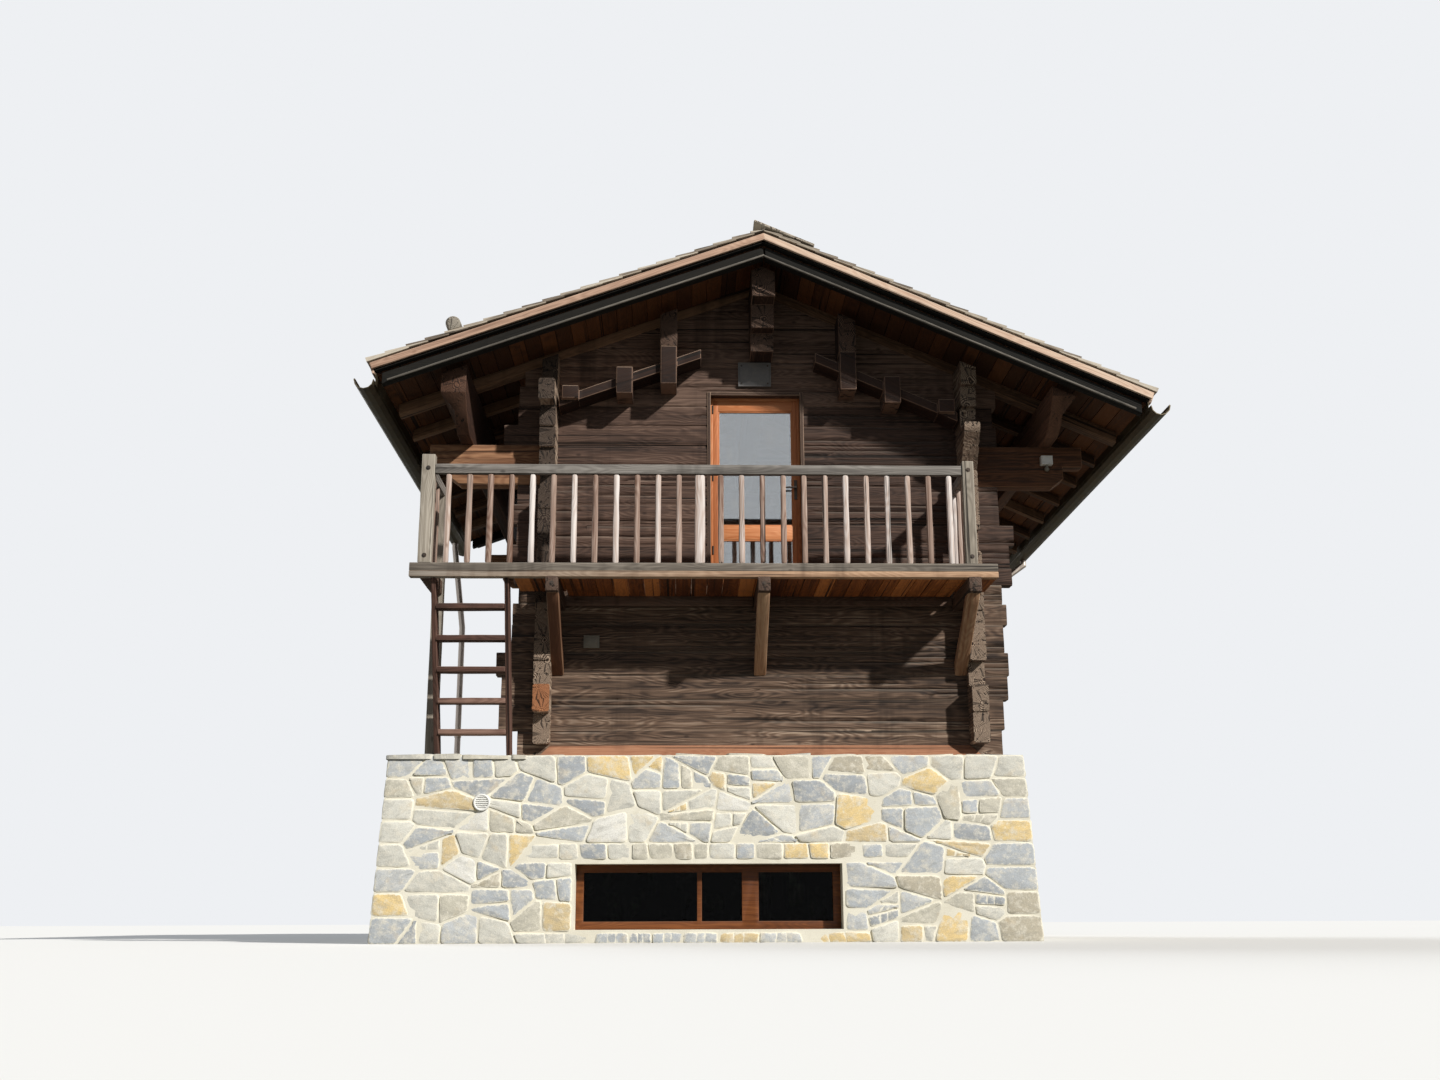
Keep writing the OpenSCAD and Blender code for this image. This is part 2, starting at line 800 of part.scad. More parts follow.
module gable_brackets() {
    color(log_c) {
        translate([0, front_y, 0]) mirror([0, 1, 0]) bracket_pair();
        translate([0, back_y, 0]) bracket_pair();
    }
}

module rafters() {
    color(log_c) rafters_shape();
}

module roof_boards() {
    color(orange_wood_c) both_sides()
        roof_layer(ridge() + 4, reach() - 35, shingle_d, board_d, verge_y, rear_verge_y);
}

shingle_over = 40;
module shingles() {
    color(shingle_c) both_sides()
        roof_layer(ridge() + 4, reach(), 0, shingle_d, verge_y - shingle_over, rear_verge_y + shingle_over);
}

// Tan verge boards, the grey trim below them, and the fascia behind the gutters
verge_board_t = 30;
module verge_boards() {
    color(tan_wood_c) both_sides() {
        for (y = [verge_y - verge_board_t, rear_verge_y])
            roof_layer(ridge() + 2, reach() - 20, shingle_d, verge_board_d, y, y + verge_board_t);
        roof_layer(reach() - 35, reach() - 10, shingle_d, board_d - 5,
                   verge_y + 3, rear_verge_y - 3);
        for (y = [verge_y, rear_verge_y - 40])
            roof_layer(ridge() + 2, reach() - 110, trim_d, rafter_d, y, y + 40);
    }
}

// Ridge boards on the right slope; the upper one runs over the ridge
cap_t = 28;
cap_past = 110;
cap_w = 560;
module ridge_cap() {
    color(shingle_c) one_side(1)
        roof_layer(ridge() - cap_past, ridge() + cap_w, -cap_t, 0,
                   verge_y - shingle_over - 10, rear_verge_y + shingle_over);
}

gutter_rim = [5390, 5160];
function gutter_x() = reach() - 5;
function gutter_z() = $side > 0 ? gutter_rim[1] : gutter_rim[0];
gutter_r = 100;
gutter_t = 8;
gutter_y = [verge_y - 60, rear_verge_y + 30];
hanger_w = 30;
module gutters() {
    color(metal_c) both_sides() {
        x0 = gutter_x() - gutter_r;
        translate([gutter_x(), gutter_y[1], gutter_z()]) rotate([90, 0, 0])
            linear_extrude(gutter_y[1] - gutter_y[0]) difference() {
                circle(gutter_r, $fn = 12);
                circle(gutter_r - gutter_t, $fn = 12);
                translate([-gutter_r - cut, 0]) square([2 * (gutter_r + cut), gutter_r + cut]);
            }
        // straps up to the roof boards, one at each rafter
        for (k = [-3 : 3]) translate([0, k * rafter_step - hanger_w / 2, 0])
            block([x0, 0, gutter_z() - 6],
                  [x0 + gutter_t / 2, hanger_w, roof_z(x0 + gutter_t / 2, board_d)]);
    }
}

pipe_r = 40;
pipe_y = back_y + 170;
pipe_gap = 50;
pipe_bend_z = 4100;
// A length of pipe that starts at a point and leans towards +X
module pipe_run(start, length, lean) {
    translate(start) rotate([0, lean, 0]) cylinder(h = length, r = pipe_r, $fn = 12);
}

// The space after a mitre plane through a point, along the pipe
module after_mitre(point, lean) {
    size = 12000;
    translate(point) rotate([0, lean, 0]) translate([-size / 2, -size / 2, 0]) cube(size);
}

// Down from the gutter, slanting in to the wall, and down to the ground
module downpipe(foot_x) {
    top = gutter_z() - gutter_r - 1;
    low = [foot_x, pipe_y, pipe_bend_z];
    high = [gutter_x(), pipe_y, top - 60];
    lean = atan2(high[0] - low[0], high[2] - low[2]);
    back = [sin(lean), 0, cos(lean)] * pipe_r;
    difference() {
        pipe_run([foot_x, pipe_y, 40], low[2] - 40 + pipe_r, 0);
        after_mitre(low, lean / 2);
    }
    intersection() {
        difference() {
            pipe_run(low - back, norm(high - low) + 2 * pipe_r, lean);
            after_mitre(high, lean / 2);
        }
        after_mitre(low, lean / 2);
    }
    intersection() {
        pipe_run(high - [0, 0, pipe_r], top - high[2] + pipe_r, 0);
        after_mitre(high, lean / 2);
    }
}

module downpipes() {
    out = stone_batter + pipe_gap + pipe_r;
    color(metal_c) {
        one_side(1) downpipe(stone_right + out);
        one_side(-1) downpipe(stone_left + out);
    }
}

// A round log along the left eave, on the shingles, that holds the snow back
snow_x = 3100;
snow_r = 75;
module snow_guard() {
    color(old_wood_c) one_side(-1) difference() {
        translate([snow_x, rear_verge_y, roof_z(snow_x, 0) + snow_r * 0.94]) rotate([90, 0, 0])
            cylinder(h = rear_verge_y - verge_y + 20, r = snow_r, $fn = 32);
        roof_layer(snow_x - 200, snow_x + 200, 0, 200, verge_y - 100, rear_verge_y + 100);
    }
}

front_stone_wall();
back_stone_wall();
left_stone_wall();
right_stone_wall();
stone_coping();
basement_floor();
ground_floor();
upper_floor();
basement_window_frame();
basement_window_glass();
vent_cap();
sill_skirt();
front_wall();
back_wall();
left_wall();
right_wall();
front_door_walls();
front_gable();
back_gable();
door_casing();
door_leaf();
door_glass();
gable_plate();
socket_box();
wall_lamp();
balcony_beam();
balcony_joists();
balcony_planks();
balcony_braces();
balcony_posts();
balcony_rails();
balusters();
stair_stringers();
stair_treads();
ridge_purlin();
mid_purlins();
eave_purlins();
eave_arms();
gable_brackets();
rafters();
roof_boards();
shingles();
verge_boards();
ridge_cap();
gutters();
downpipes();
snow_guard();
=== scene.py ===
"""Alpine chalet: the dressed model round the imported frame.

Metres, +X right, +Y to the back, +Z up. Most places are read from the frame's own nodes, and
the sizes that only the dressing knows are fields of its classes. Colours are written as a screen
shows them, in six hexadecimal digits.
"""
import logging
import math
import random
from abc import ABC, abstractmethod
from collections.abc import Callable, Iterator, Sequence
from contextlib import contextmanager
from dataclasses import dataclass
from enum import Enum

import bmesh
import bpy
import numpy as np
from bpy.types import Mesh, Node, NodeSocket, NodeTree, Object
from mathutils import Matrix, Vector


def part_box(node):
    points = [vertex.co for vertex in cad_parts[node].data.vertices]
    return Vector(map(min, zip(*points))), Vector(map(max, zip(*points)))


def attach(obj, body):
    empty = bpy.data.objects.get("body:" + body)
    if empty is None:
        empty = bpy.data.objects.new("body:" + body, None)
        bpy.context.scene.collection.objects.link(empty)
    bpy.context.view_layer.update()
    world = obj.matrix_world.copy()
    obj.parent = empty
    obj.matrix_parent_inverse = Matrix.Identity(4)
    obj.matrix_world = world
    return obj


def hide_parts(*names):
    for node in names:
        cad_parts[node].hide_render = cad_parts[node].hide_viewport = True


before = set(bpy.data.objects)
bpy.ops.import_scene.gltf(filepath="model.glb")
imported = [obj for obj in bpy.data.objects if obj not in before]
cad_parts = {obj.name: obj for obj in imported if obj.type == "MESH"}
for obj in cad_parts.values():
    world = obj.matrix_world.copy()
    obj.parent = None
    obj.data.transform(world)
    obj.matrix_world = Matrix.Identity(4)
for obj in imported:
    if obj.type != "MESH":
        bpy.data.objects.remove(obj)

LOG = logging.getLogger("chalet")
BODY = "root"

Color = tuple[float, float, float, float]
Point = tuple[float, float]
Rect = tuple[float, float, float, float]
Box = tuple[Vector, Vector]

# The log house: half its width and half its depth
LOG_FACES: Point = (2.27, 2.45)
BACKWARDS = (0, 1, 0)
# Cuts through a piece stand off even places by this share of their distance, to miss its own edges
CUT_OFFSET = 0.13


class Pick(Enum):
    """What an edit-mode selection is made of."""

    VERTS = "VERT"
    EDGES = "EDGE"
    FACES = "FACE"


class Side(Enum):
    """Left or right half of the house, seen from the front."""

    LEFT = -1
    RIGHT = 1


def srgb(code: str) -> Color:
    """A screen colour of six hexadecimal digits, as the linear one that a shader takes."""
    shares = [int(code[k:k + 2], 16) / 255 for k in (0, 2, 4)]
    return *(s / 12.92 if s <= 0.04045 else ((s + 0.055) / 1.055) ** 2.4 for s in shares), 1.0


def configure(target: object, **values: object) -> None:
    """Sets several properties of one thing."""
    for name, value in values.items():
        setattr(target, name, value)


# Modelling helpers


def deselect() -> None:
    """Object mode, with nothing selected."""
    if bpy.context.mode != "OBJECT":
        bpy.ops.object.mode_set(mode="OBJECT")
    bpy.ops.object.select_all(action="DESELECT")


def only(obj: Object) -> None:
    """Makes one object the only one selected, and the active one."""
    deselect()
    obj.select_set(True)
    bpy.context.view_layer.objects.active = obj


@contextmanager
def editing(obj: Object) -> Iterator[Object]:
    """Edit mode on one object, with nothing of it selected at first."""
    only(obj)
    bpy.ops.object.mode_set(mode="EDIT")
    bpy.ops.mesh.select_all(action="DESELECT")
    yield obj
    bpy.ops.object.mode_set(mode="OBJECT")


def select_all() -> None:
    """Selects all of the piece in edit mode."""
    bpy.ops.mesh.select_all(action="SELECT")


def face_out() -> None:
    """Turns all faces of the piece in edit mode outwards."""
    select_all()
    bpy.ops.mesh.normals_make_consistent(inside=False)


def pick(obj: Object, kind: Pick, test: Callable[..., bool]) -> int:
    """Selects, in edit mode, the elements that pass a test.

    Args:
        obj: The object in edit mode.
        kind: Whether vertices, edges or faces are tested.
        test: Says of one element whether it is taken.

    Returns:
        How many were taken.
    """
    bpy.ops.mesh.select_mode(type=kind.value)
    bpy.ops.mesh.select_all(action="DESELECT")
    mesh = bmesh.from_edit_mesh(obj.data)
    elements = {Pick.VERTS: mesh.verts, Pick.EDGES: mesh.edges, Pick.FACES: mesh.faces}[kind]
    taken = [element for element in elements if test(element)]
    for element in taken:
        element.select_set(True)
    mesh.select_flush_mode()
    bmesh.update_edit_mesh(obj.data)
    return len(taken)


def roughen(obj: Object, size: float, strength: float, direction: str = "NORMAL") -> None:
    """Pushes a surface in and out by clouds of one size.

    Args:
        obj: The object, at the origin.
        size: Width of one cloud.
        strength: Whole range of the movement.
        direction: NORMAL, or one axis.
    """
    if not strength:
        return
    clouds = bpy.data.textures.new("clouds", "CLOUDS")
    configure(clouds, noise_scale=size, noise_depth=2)
    modifier = obj.modifiers.new("rough", "DISPLACE")
    configure(modifier, texture=clouds, strength=strength, mid_level=0.5, direction=direction)
    only(obj)
    bpy.ops.object.modifier_apply(modifier=modifier.name)
    bpy.data.textures.remove(clouds)


def smooth(obj: Object, degrees: float = 40) -> None:
    """Smooth shading, with the edges over an angle left sharp."""
    only(obj)
    bpy.ops.object.shade_smooth_by_angle(angle=math.radians(degrees))


def read(elements: bpy.types.bpy_prop_collection, name: str, width: int, kind: type = float) -> np.ndarray:
    """One property of all the elements of a mesh, in rows of its width."""
    values = np.empty(len(elements) * width, dtype=kind)
    elements.foreach_get(name, values)
    return values.reshape(-1, width)


def vertex_places(mesh: Mesh) -> np.ndarray:
    """The vertices of a mesh as rows."""
    return read(mesh.vertices, "co", 3)


def move_vertices(mesh: Mesh, places: np.ndarray) -> None:
    """Puts the vertices of a mesh where the rows say."""
    mesh.vertices.foreach_set("co", places.ravel())
    mesh.update()


def store(mesh: Mesh, name: str, domain: str, rows: np.ndarray) -> None:
    """Keeps a vector of each point or face as an attribute that the finishes read."""
    attribute = mesh.attributes.get(name) or mesh.attributes.new(name, "FLOAT_VECTOR", domain)
    attribute.data.foreach_set("vector", rows.astype(np.float32).ravel())


def loose_parts(mesh: Mesh) -> np.ndarray:
    """The number of its separate part for each vertex of a mesh, from 0."""
    label = np.arange(len(mesh.vertices))
    first, second = read(mesh.edges, "vertices", 2, np.int64).T
    while True:
        low = np.minimum(label[first], label[second])
        before = label.copy()
        np.minimum.at(label, first, low)
        np.minimum.at(label, second, low)
        label = label[label]
        if np.array_equal(before, label):
            return np.unique(label, return_inverse=True)[1]


def face_parts(mesh: Mesh, parts: np.ndarray) -> np.ndarray:
    """The number of its part for each face, from the numbers of the vertices."""
    corners = read(mesh.polygons, "loop_start", 1, np.int64)[:, 0]
    return parts[read(mesh.loops, "vertex_index", 1, np.int64)[corners, 0]]


def part_middles(places: np.ndarray, parts: np.ndarray) -> np.ndarray:
    """Mean X and Y of the vertices of each part."""
    sums = np.stack([np.bincount(parts, places[:, k]) for k in (0, 1)], axis=1)
    return sums / np.bincount(parts)[:, None]


def part_direction(places: np.ndarray) -> np.ndarray:
    """Direction in which a part is longest, snapped to an axis when it nearly is one."""
    lengths = np.ptp(places, axis=0)
    axis = int(np.argmax(lengths))
    direction = np.linalg.svd(places - places.mean(axis=0), full_matrices=False)[2][0]
    if abs(direction[axis]) > 0.99 or lengths[axis] > 12 * np.sort(lengths)[1]:
        direction = np.eye(3)[axis]
    return direction * np.sign(direction[axis])


def mark_timber(obj: Object, seed: int, along: Sequence[float] | None = None) -> None:
    """Gives each loose part its own grain and tone.

    Args:
        obj: An object whose parts are lengths of wood.
        seed: Seed of the tones and of where each part lies in the grain.
        along: Direction of the grain of every part, or nothing to follow each part's length.
    """
    mesh = obj.data
    draw = np.random.default_rng(seed)
    places, parts = vertex_places(mesh), loose_parts(mesh)
    count = parts.max() + 1
    grain = np.zeros_like(places)
    frames = np.zeros((count, 3, 3))
    order = np.argsort(parts, kind="stable")
    bounds = np.searchsorted(parts[order], np.arange(count + 1))
    for part in range(count):
        mine = order[bounds[part]:bounds[part + 1]]
        first = np.array(along) if along else part_direction(places[mine])
        third = np.cross(first, np.eye(3)[2 if abs(first[2]) < 0.9 else 1])
        third /= np.linalg.norm(third)
        frames[part] = (first, np.cross(third, first), third)
        grain[mine] = places[mine] @ frames[part].T + draw.uniform(0, 40, 3)
    tones = draw.uniform(0, 1, count)
    owner = face_parts(mesh, parts)
    facing = np.abs(np.einsum("fij,fj->fi", frames[owner], read(mesh.polygons, "normal", 3)))
    arris = (facing.max(axis=1) < 0.95).astype(float)
    ends = (facing[:, 0] > 0.8).astype(float)
    store(mesh, "grain", "POINT", grain)
    store(mesh, "marks", "FACE", np.stack((tones[owner], arris, ends), axis=1))


def new_piece(name: str, mesh: Mesh | None = None) -> Object:
    """An object in the scene, empty unless it is given a mesh."""
    obj = bpy.data.objects.new(name, mesh or bpy.data.meshes.new(name))
    bpy.context.scene.collection.objects.link(obj)
    return obj


def copy_of_node(name: str, node: str) -> Object:
    """The solids of a frame node as a new piece, with whole faces instead of triangles."""
    with editing(new_piece(name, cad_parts[node].data.copy())) as obj:
        select_all()
        bpy.ops.mesh.remove_doubles(threshold=0.0001)
        bpy.ops.mesh.dissolve_limited(angle_limit=math.radians(1))
    return obj


def node_boxes(node: str) -> list[Box]:
    """Lowest and highest corners of each solid of a frame node, from left to right."""
    mesh = copy_of_node("measure", node).data
    places, parts = vertex_places(mesh), loose_parts(mesh)
    solids = [places[parts == part] for part in range(parts.max() + 1)]
    bpy.data.meshes.remove(mesh)
    return sorted(((Vector(mine.min(axis=0)), Vector(mine.max(axis=0))) for mine in solids),
                  key=lambda box: tuple(box[0]))


def slice_up(obj: Object, axis: int, step: float) -> None:
    """Cuts a piece into lengths, so that it can be bent and worn between its ends.

    Args:
        obj: The piece.
        axis: 0, 1 or 2 for cuts square to X, Y or Z.
        step: Distance between two cuts.
    """
    places = vertex_places(obj.data)[:, axis]
    low, high = places.min(), places.max()
    count = max(1, round((high - low) / step))
    normal = tuple(float(k == axis) for k in range(3))
    with editing(obj):
        for cut in range(1, count):
            at = low + (high - low) * (cut + CUT_OFFSET) / count
            select_all()
            bpy.ops.mesh.bisect(plane_co=tuple(at * part for part in normal), plane_no=normal)


def add_block(low: Sequence[float], high: Sequence[float]) -> None:
    """Adds a block between two corners to the piece in edit mode."""
    low, high = Vector(low), Vector(high)
    bpy.ops.mesh.primitive_cube_add(size=1, location=(low + high) / 2, scale=high - low)


def add_frame(low: Vector, high: Vector, width: float) -> None:
    """Adds four blocks that frame an upright rectangle to the piece in edit mode."""
    left, right = low.x + width, high.x - width
    add_block(low, (left, high.y, high.z))
    add_block((right, low.y, low.z), high)
    add_block((left, low.y, low.z), (right, high.y, low.z + width))
    add_block((left, low.y, high.z - width), (right, high.y, high.z))


def add_rod(start: Sequence[float], end: Sequence[float], radius: float, sides: int = 12) -> None:
    """Adds a round rod between two points to the piece in edit mode."""
    start, end = Vector(start), Vector(end)
    line = end - start
    bpy.ops.mesh.primitive_cylinder_add(
        vertices=sides, radius=radius, depth=line.length, location=(start + end) / 2,
        rotation=line.to_track_quat("Z", "Y").to_euler())


def complete(obj: Object, finish: "Finish", replaced: Sequence[str] = ()) -> None:
    """Gives a piece its finish and its place in the model.

    Args:
        obj: The piece, finished in shape.
        finish: What its surface is.
        replaced: Frame nodes that it stands for.
    """
    only(obj)
    bpy.ops.object.transform_apply(location=True, rotation=True, scale=True)
    obj.data.materials.clear()
    obj.data.materials.append(finish.material())
    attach(obj, BODY)
    if replaced:
        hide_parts(*replaced)
    LOG.info("%s: %d faces", obj.name, len(obj.data.polygons))


def ease(obj: Object, arris: float = 0.003, segments: int = 1, cuts: int = 0, over: float = 0.6) -> None:
    """Bevels every edge of a piece of plain blocks, and divides the long ones.

    Args:
        obj: The piece.
        arris: Width of the bevel.
        segments: Its steps.
        cuts: Number of cuts through each long edge.
        over: Length from which an edge is long.
    """
    with editing(obj):
        select_all()
        bpy.ops.mesh.bevel(offset=arris, segments=segments, affect="EDGES")
        if cuts:
            pick(obj, Pick.EDGES, lambda edge: edge.calc_length() > over)
            bpy.ops.mesh.subdivide(number_cuts=cuts)


def complete_timber(obj: Object, finish: "Finish", seed: int, replaced: Sequence[str] = (),
                    along: Sequence[float] | None = None, wear: Sequence[Point] = (),
                    angle: float = 40) -> None:
    """Wears a piece of wood, marks its grain and completes it.

    Args:
        obj: The piece, finished in shape.
        finish: Its wood.
        seed: Seed of its tones and grain.
        replaced: Frame nodes that it stands for.
        along: Direction of its grain, or nothing to follow each part's length.
        wear: Sizes and strengths of the clouds that make it uneven.
        angle: Edges sharper than this many degrees stay sharp.
    """
    for size, strength in wear:
        roughen(obj, size, strength)
    mark_timber(obj, seed, along)
    smooth(obj, angle)
    complete(obj, finish, replaced)


def dress_nodes(finish: "Finish", *nodes: str) -> None:
    """Gives frame nodes that stay in view a better material."""
    for obj in (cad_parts[node] for node in nodes):
        if not obj.material_slots:
            obj.data.materials.append(None)
        for place in obj.material_slots:
            place.material = finish.material()


# Shader building


@dataclass
class Graph:
    """A node tree being built; its methods add nodes and return what they put out."""

    tree: NodeTree

    def put(self, kind: str, inputs: dict, output: int | str = 0, **settings: object) -> NodeSocket:
        """Adds a node.

        Args:
            kind: Blender's name of the node, without the words that all of them start with.
            inputs: Values, colours or sockets for its inputs, by name or number.
            output: Which output is returned.
            settings: The node's own settings.

        Returns:
            The chosen output socket.
        """
        node = self.tree.nodes.new("ShaderNode" + kind)
        configure(node, **settings)
        self.feed(node, inputs)
        return node.outputs[output]

    def feed(self, node: Node, inputs: dict) -> None:
        """Sets a node's inputs, and links those that are given a socket."""
        for key, value in inputs.items():
            if isinstance(value, NodeSocket):
                self.tree.links.new(value, node.inputs[key])
            else:
                node.inputs[key].default_value = srgb(value) if isinstance(value, str) else value

    def group(self, tree: NodeTree, inputs: dict) -> bpy.types.bpy_prop_collection:
        """Places a shader group, and returns its outputs."""
        return self.put("Group", inputs, node_tree=tree).node.outputs

    def split(self, vector: object) -> bpy.types.bpy_prop_collection:
        """The three parts of a vector."""
        return self.put("SeparateXYZ", {0: vector}).node.outputs

    def attribute(self, name: str) -> NodeSocket:
        """A vector kept on the mesh."""
        return self.put("Attribute", {}, "Vector", attribute_name=name)

    def place(self, output: str = "Object") -> NodeSocket:
        """Object coordinates, or another kind."""
        return self.put("TexCoord", {}, output)

    def stretch(self, vector: NodeSocket, scale: Sequence[float]) -> NodeSocket:
        """A vector scaled along its axes."""
        return self.put("Mapping", {"Vector": vector, "Scale": scale})

    def noise(self, vector: NodeSocket, scale: float, detail: float = 3, rough: float = 0.55) -> NodeSocket:
        """Soft noise from 0 to 1."""
        return self.put("TexNoise", {"Vector": vector, "Scale": scale, "Detail": detail, "Roughness": rough})

    def cells(self, vector: NodeSocket, scale: float) -> bpy.types.bpy_prop_collection:
        """Scattered points: how near the nearest one is, and where."""
        return self.put("TexVoronoi", {"Vector": vector, "Scale": scale}).node.outputs

    def vector(self, operation: str, inputs: dict) -> NodeSocket:
        """Arithmetic on vectors."""
        return self.put("VectorMath", inputs, operation=operation)

    def fit(self, value: object, low: float, high: float, start: float = 0.0, end: float = 1.0) -> NodeSocket:
        """A value's stretch from low to high, laid from start to end and held there."""
        return self.put("MapRange", {"Value": value, "From Min": low, "From Max": high,
                                     "To Min": start, "To Max": end})

    def math(self, operation: str, *values: object) -> NodeSocket:
        """Arithmetic on values."""
        return self.put("Math", dict(enumerate(values)), operation=operation)

    def times(self, first: object, *others: object) -> NodeSocket:
        """Values multiplied."""
        for other in others:
            first = self.math("MULTIPLY", first, other)
        return first

    def total(self, *terms: tuple[object, float]) -> NodeSocket:
        """The sum of values, each times its weight."""
        found = 0.0
        for value, weight in terms:
            found = self.math("MULTIPLY_ADD", value, weight, found)
        return found

    def mix(self, share: object, first: object, second: object) -> NodeSocket:
        """Two colours mixed."""
        return self.put("Mix", {0: share, 6: first, 7: second}, 2, data_type="RGBA")

    def ramp(self, value: object, codes: str, stops: Sequence[float] = (0.0, 0.5, 1.0),
             steps: bool = False) -> NodeSocket:
        """A colour looked up between stops.

        Args:
            value: Where to look, 0 to 1.
            codes: The colours.
            stops: Where each of them is.
            steps: True for hard changes.

        Returns:
            The colour.
        """
        color = self.put("ValToRGB", {0: value})
        ramp = color.node.color_ramp
        ramp.interpolation = "CONSTANT" if steps else "LINEAR"
        ramp.elements.remove(ramp.elements[1])
        for k, (at, code) in enumerate(zip(stops, codes.split())):
            stop = ramp.elements.new(at) if k else ramp.elements[0]
            configure(stop, position=at, color=srgb(code))
        return color

    def bump(self, height: object, strength: float, depth: float) -> NodeSocket:
        """A normal leaned by a height."""
        return self.put("Bump", {"Height": height, "Strength": strength, "Distance": depth})


def shader_group(name: str, inputs: dict[str, object], build: Callable[[Graph, dict], dict]) -> NodeTree:
    """Makes a node group once, and hands it out again when it is asked for again.

    Args:
        name: Name of the group.
        inputs: Names of its inputs with their values, a vector where the value has three.
        build: Fills the tree from the group's inputs and returns a socket for each output.

    Returns:
        The group's tree.
    """
    known = bpy.data.node_groups.get(name)
    if known:
        return known
    tree = bpy.data.node_groups.new(name, "ShaderNodeTree")
    for title, value in inputs.items():
        kind = "NodeSocketVector" if isinstance(value, tuple) else "NodeSocketFloat"
        tree.interface.new_socket(name=title, in_out="INPUT", socket_type=kind).default_value = value
    source = tree.nodes.new("NodeGroupInput").outputs
    target = tree.nodes.new("NodeGroupOutput")
    for title, socket in build(Graph(tree), {title: source[title] for title in inputs}).items():
        tree.interface.new_socket(name=title, in_out="OUTPUT", socket_type="NodeSocketFloat")
        tree.links.new(socket, target.inputs[title])
    return tree


def timber_grain() -> NodeTree:
    """Grain of one length of wood: fibres, growth rings, broad patches, drying cracks and knots."""
    def build(graph: Graph, given: dict) -> dict:
        """Fills the group."""
        grain = given["Grain"]
        fibres = graph.noise(graph.stretch(grain, (0.7, 44, 44)), 1, 5, 0.62)
        broad = graph.noise(graph.stretch(grain, (0.5, 5.5, 5.5)), 1, 3)
        waver = graph.noise(graph.stretch(grain, (0.4, 2.5, 2.5)), 1.6, 2, 0.5).node.outputs["Color"]
        bent = graph.vector("ADD", {0: graph.stretch(grain, (0.09, 1, 1)), 1: waver})
        rings = graph.put("TexWave", {
            "Vector": bent, "Scale": 9, "Distortion": 1.3, "Detail": 2, "Detail Scale": 2},
            bands_direction="DIAGONAL")
        lines = graph.noise(graph.stretch(grain, (0.24, 30, 30)), 1, 2, 0.4)
        zones = graph.noise(graph.stretch(grain, (0.4, 5, 5)), 1, 1)
        split = graph.times(graph.fit(lines, 0.60, 0.66), graph.fit(zones, 0.42, 0.56), given["Cracks"])
        knots = graph.cells(graph.stretch(grain, (0.55, 1, 1)), 5.5)["Distance"]
        return {"Fibres": fibres, "Broad": broad, "Rings": rings, "Cracks": split,
                "Knots": graph.fit(knots, 0.04, 0.11, 1, 0),
                "Height": graph.total((fibres, 0.7), (rings, 0.25), (split, -1))}
    return shader_group("timber_grain", {"Grain": (0.0, 0.0, 0.0), "Cracks": 1.0}, build)


def end_grain() -> NodeTree:
    """Sawn end of a length of wood: growth rings round a heart, and cracks from it."""
    def build(graph: Graph, given: dict) -> dict:
        """Fills the group."""
        grain = graph.stretch(given["Grain"], (0, 1, 1))
        cell = graph.cells(grain, 4.2)
        waver = graph.noise(grain, 9, 2)
        rings = graph.math("SINE", graph.times(graph.total((cell["Distance"], 1), (waver, 0.14)), 190))
        spoke = graph.split(graph.vector("SUBTRACT", {0: grain, 1: cell["Position"]}))
        wander = graph.total((graph.math("ARCTAN2", spoke["Y"], spoke["Z"]), 1), (waver, 0.25))
        spread = graph.put("TexNoise", {"W": wander, "Scale": 1.9, "Detail": 1}, noise_dimensions="1D")
        off = graph.math("ABSOLUTE", graph.math("SUBTRACT", spread, 0.5))
        split = graph.times(graph.fit(off, 0.004, 0.014, 1, 0), graph.fit(cell["Distance"], 0.15, 0.35))
        return {"Rings": graph.fit(rings, -1, 1), "Cracks": split}
    return shader_group("end_grain", {"Grain": (0.0, 0.0, 0.0)}, build)


def weather_marks() -> NodeTree:
    """Where rain and sun have worked: dust on what faces up, and runs of damp down a face. On the bracket
    wood the layer on what faces up is a painted highlight instead of dust.
    """
    def build(graph: Graph, given: dict) -> dict:
        """Fills the group."""
        place = graph.place()
        upward = graph.split(graph.place("Normal"))["Z"]
        runs = graph.noise(graph.stretch(place, (5, 5, 0.5)), 1.2, 3)
        patches = graph.noise(place, 0.9, 3)
        damp = graph.times(graph.fit(runs, 0.5, 0.72), graph.fit(patches, 0.4, 0.6), given["Damp"])
        return {"Dust": graph.times(graph.fit(upward, 0.35, 0.9), given["Dust"]), "Damp": damp}
    return shader_group("weather_marks", {"Dust": 1.0, "Damp": 1.0}, build)


def speckle() -> NodeTree:
    """Grains and pits of stone and mortar."""
    def build(graph: Graph, given: dict) -> dict:
        """Fills the group."""
        place = given["Vector"]
        coarse = graph.noise(place, 14, 5, 0.62)
        fine = graph.noise(place, 110, 2, 0.6)
        pits = graph.fit(graph.cells(place, 42)["Distance"], 0.0, 0.35)
        return {"Coarse": coarse, "Fine": fine,
                "Height": graph.total((coarse, 0.6), (fine, 0.25), (pits, 0.15))}
    return shader_group("speckle", {"Vector": (0.0, 0.0, 0.0)}, build)


# Finishes


@dataclass(frozen=True)
class Finish(ABC):
    """What a surface is made of. Each makes its material once."""

    title: str
    slot: str

    def material(self) -> bpy.types.Material:
        """The finish's material, made when it is first asked for."""
        name = self.title + "_finish"
        known = bpy.data.materials.get(name)
        if known:
            return known
        made = bpy.data.materials.new(name)
        made.use_nodes = True
        self.dress(Graph(made.node_tree), made.node_tree.nodes["Principled BSDF"])
        return made

    @abstractmethod
    def dress(self, graph: Graph, surface: Node) -> None:
        """Builds the colour, roughness and relief.

        Args:
            graph: The material's tree.
            surface: Its Principled shader.
        """


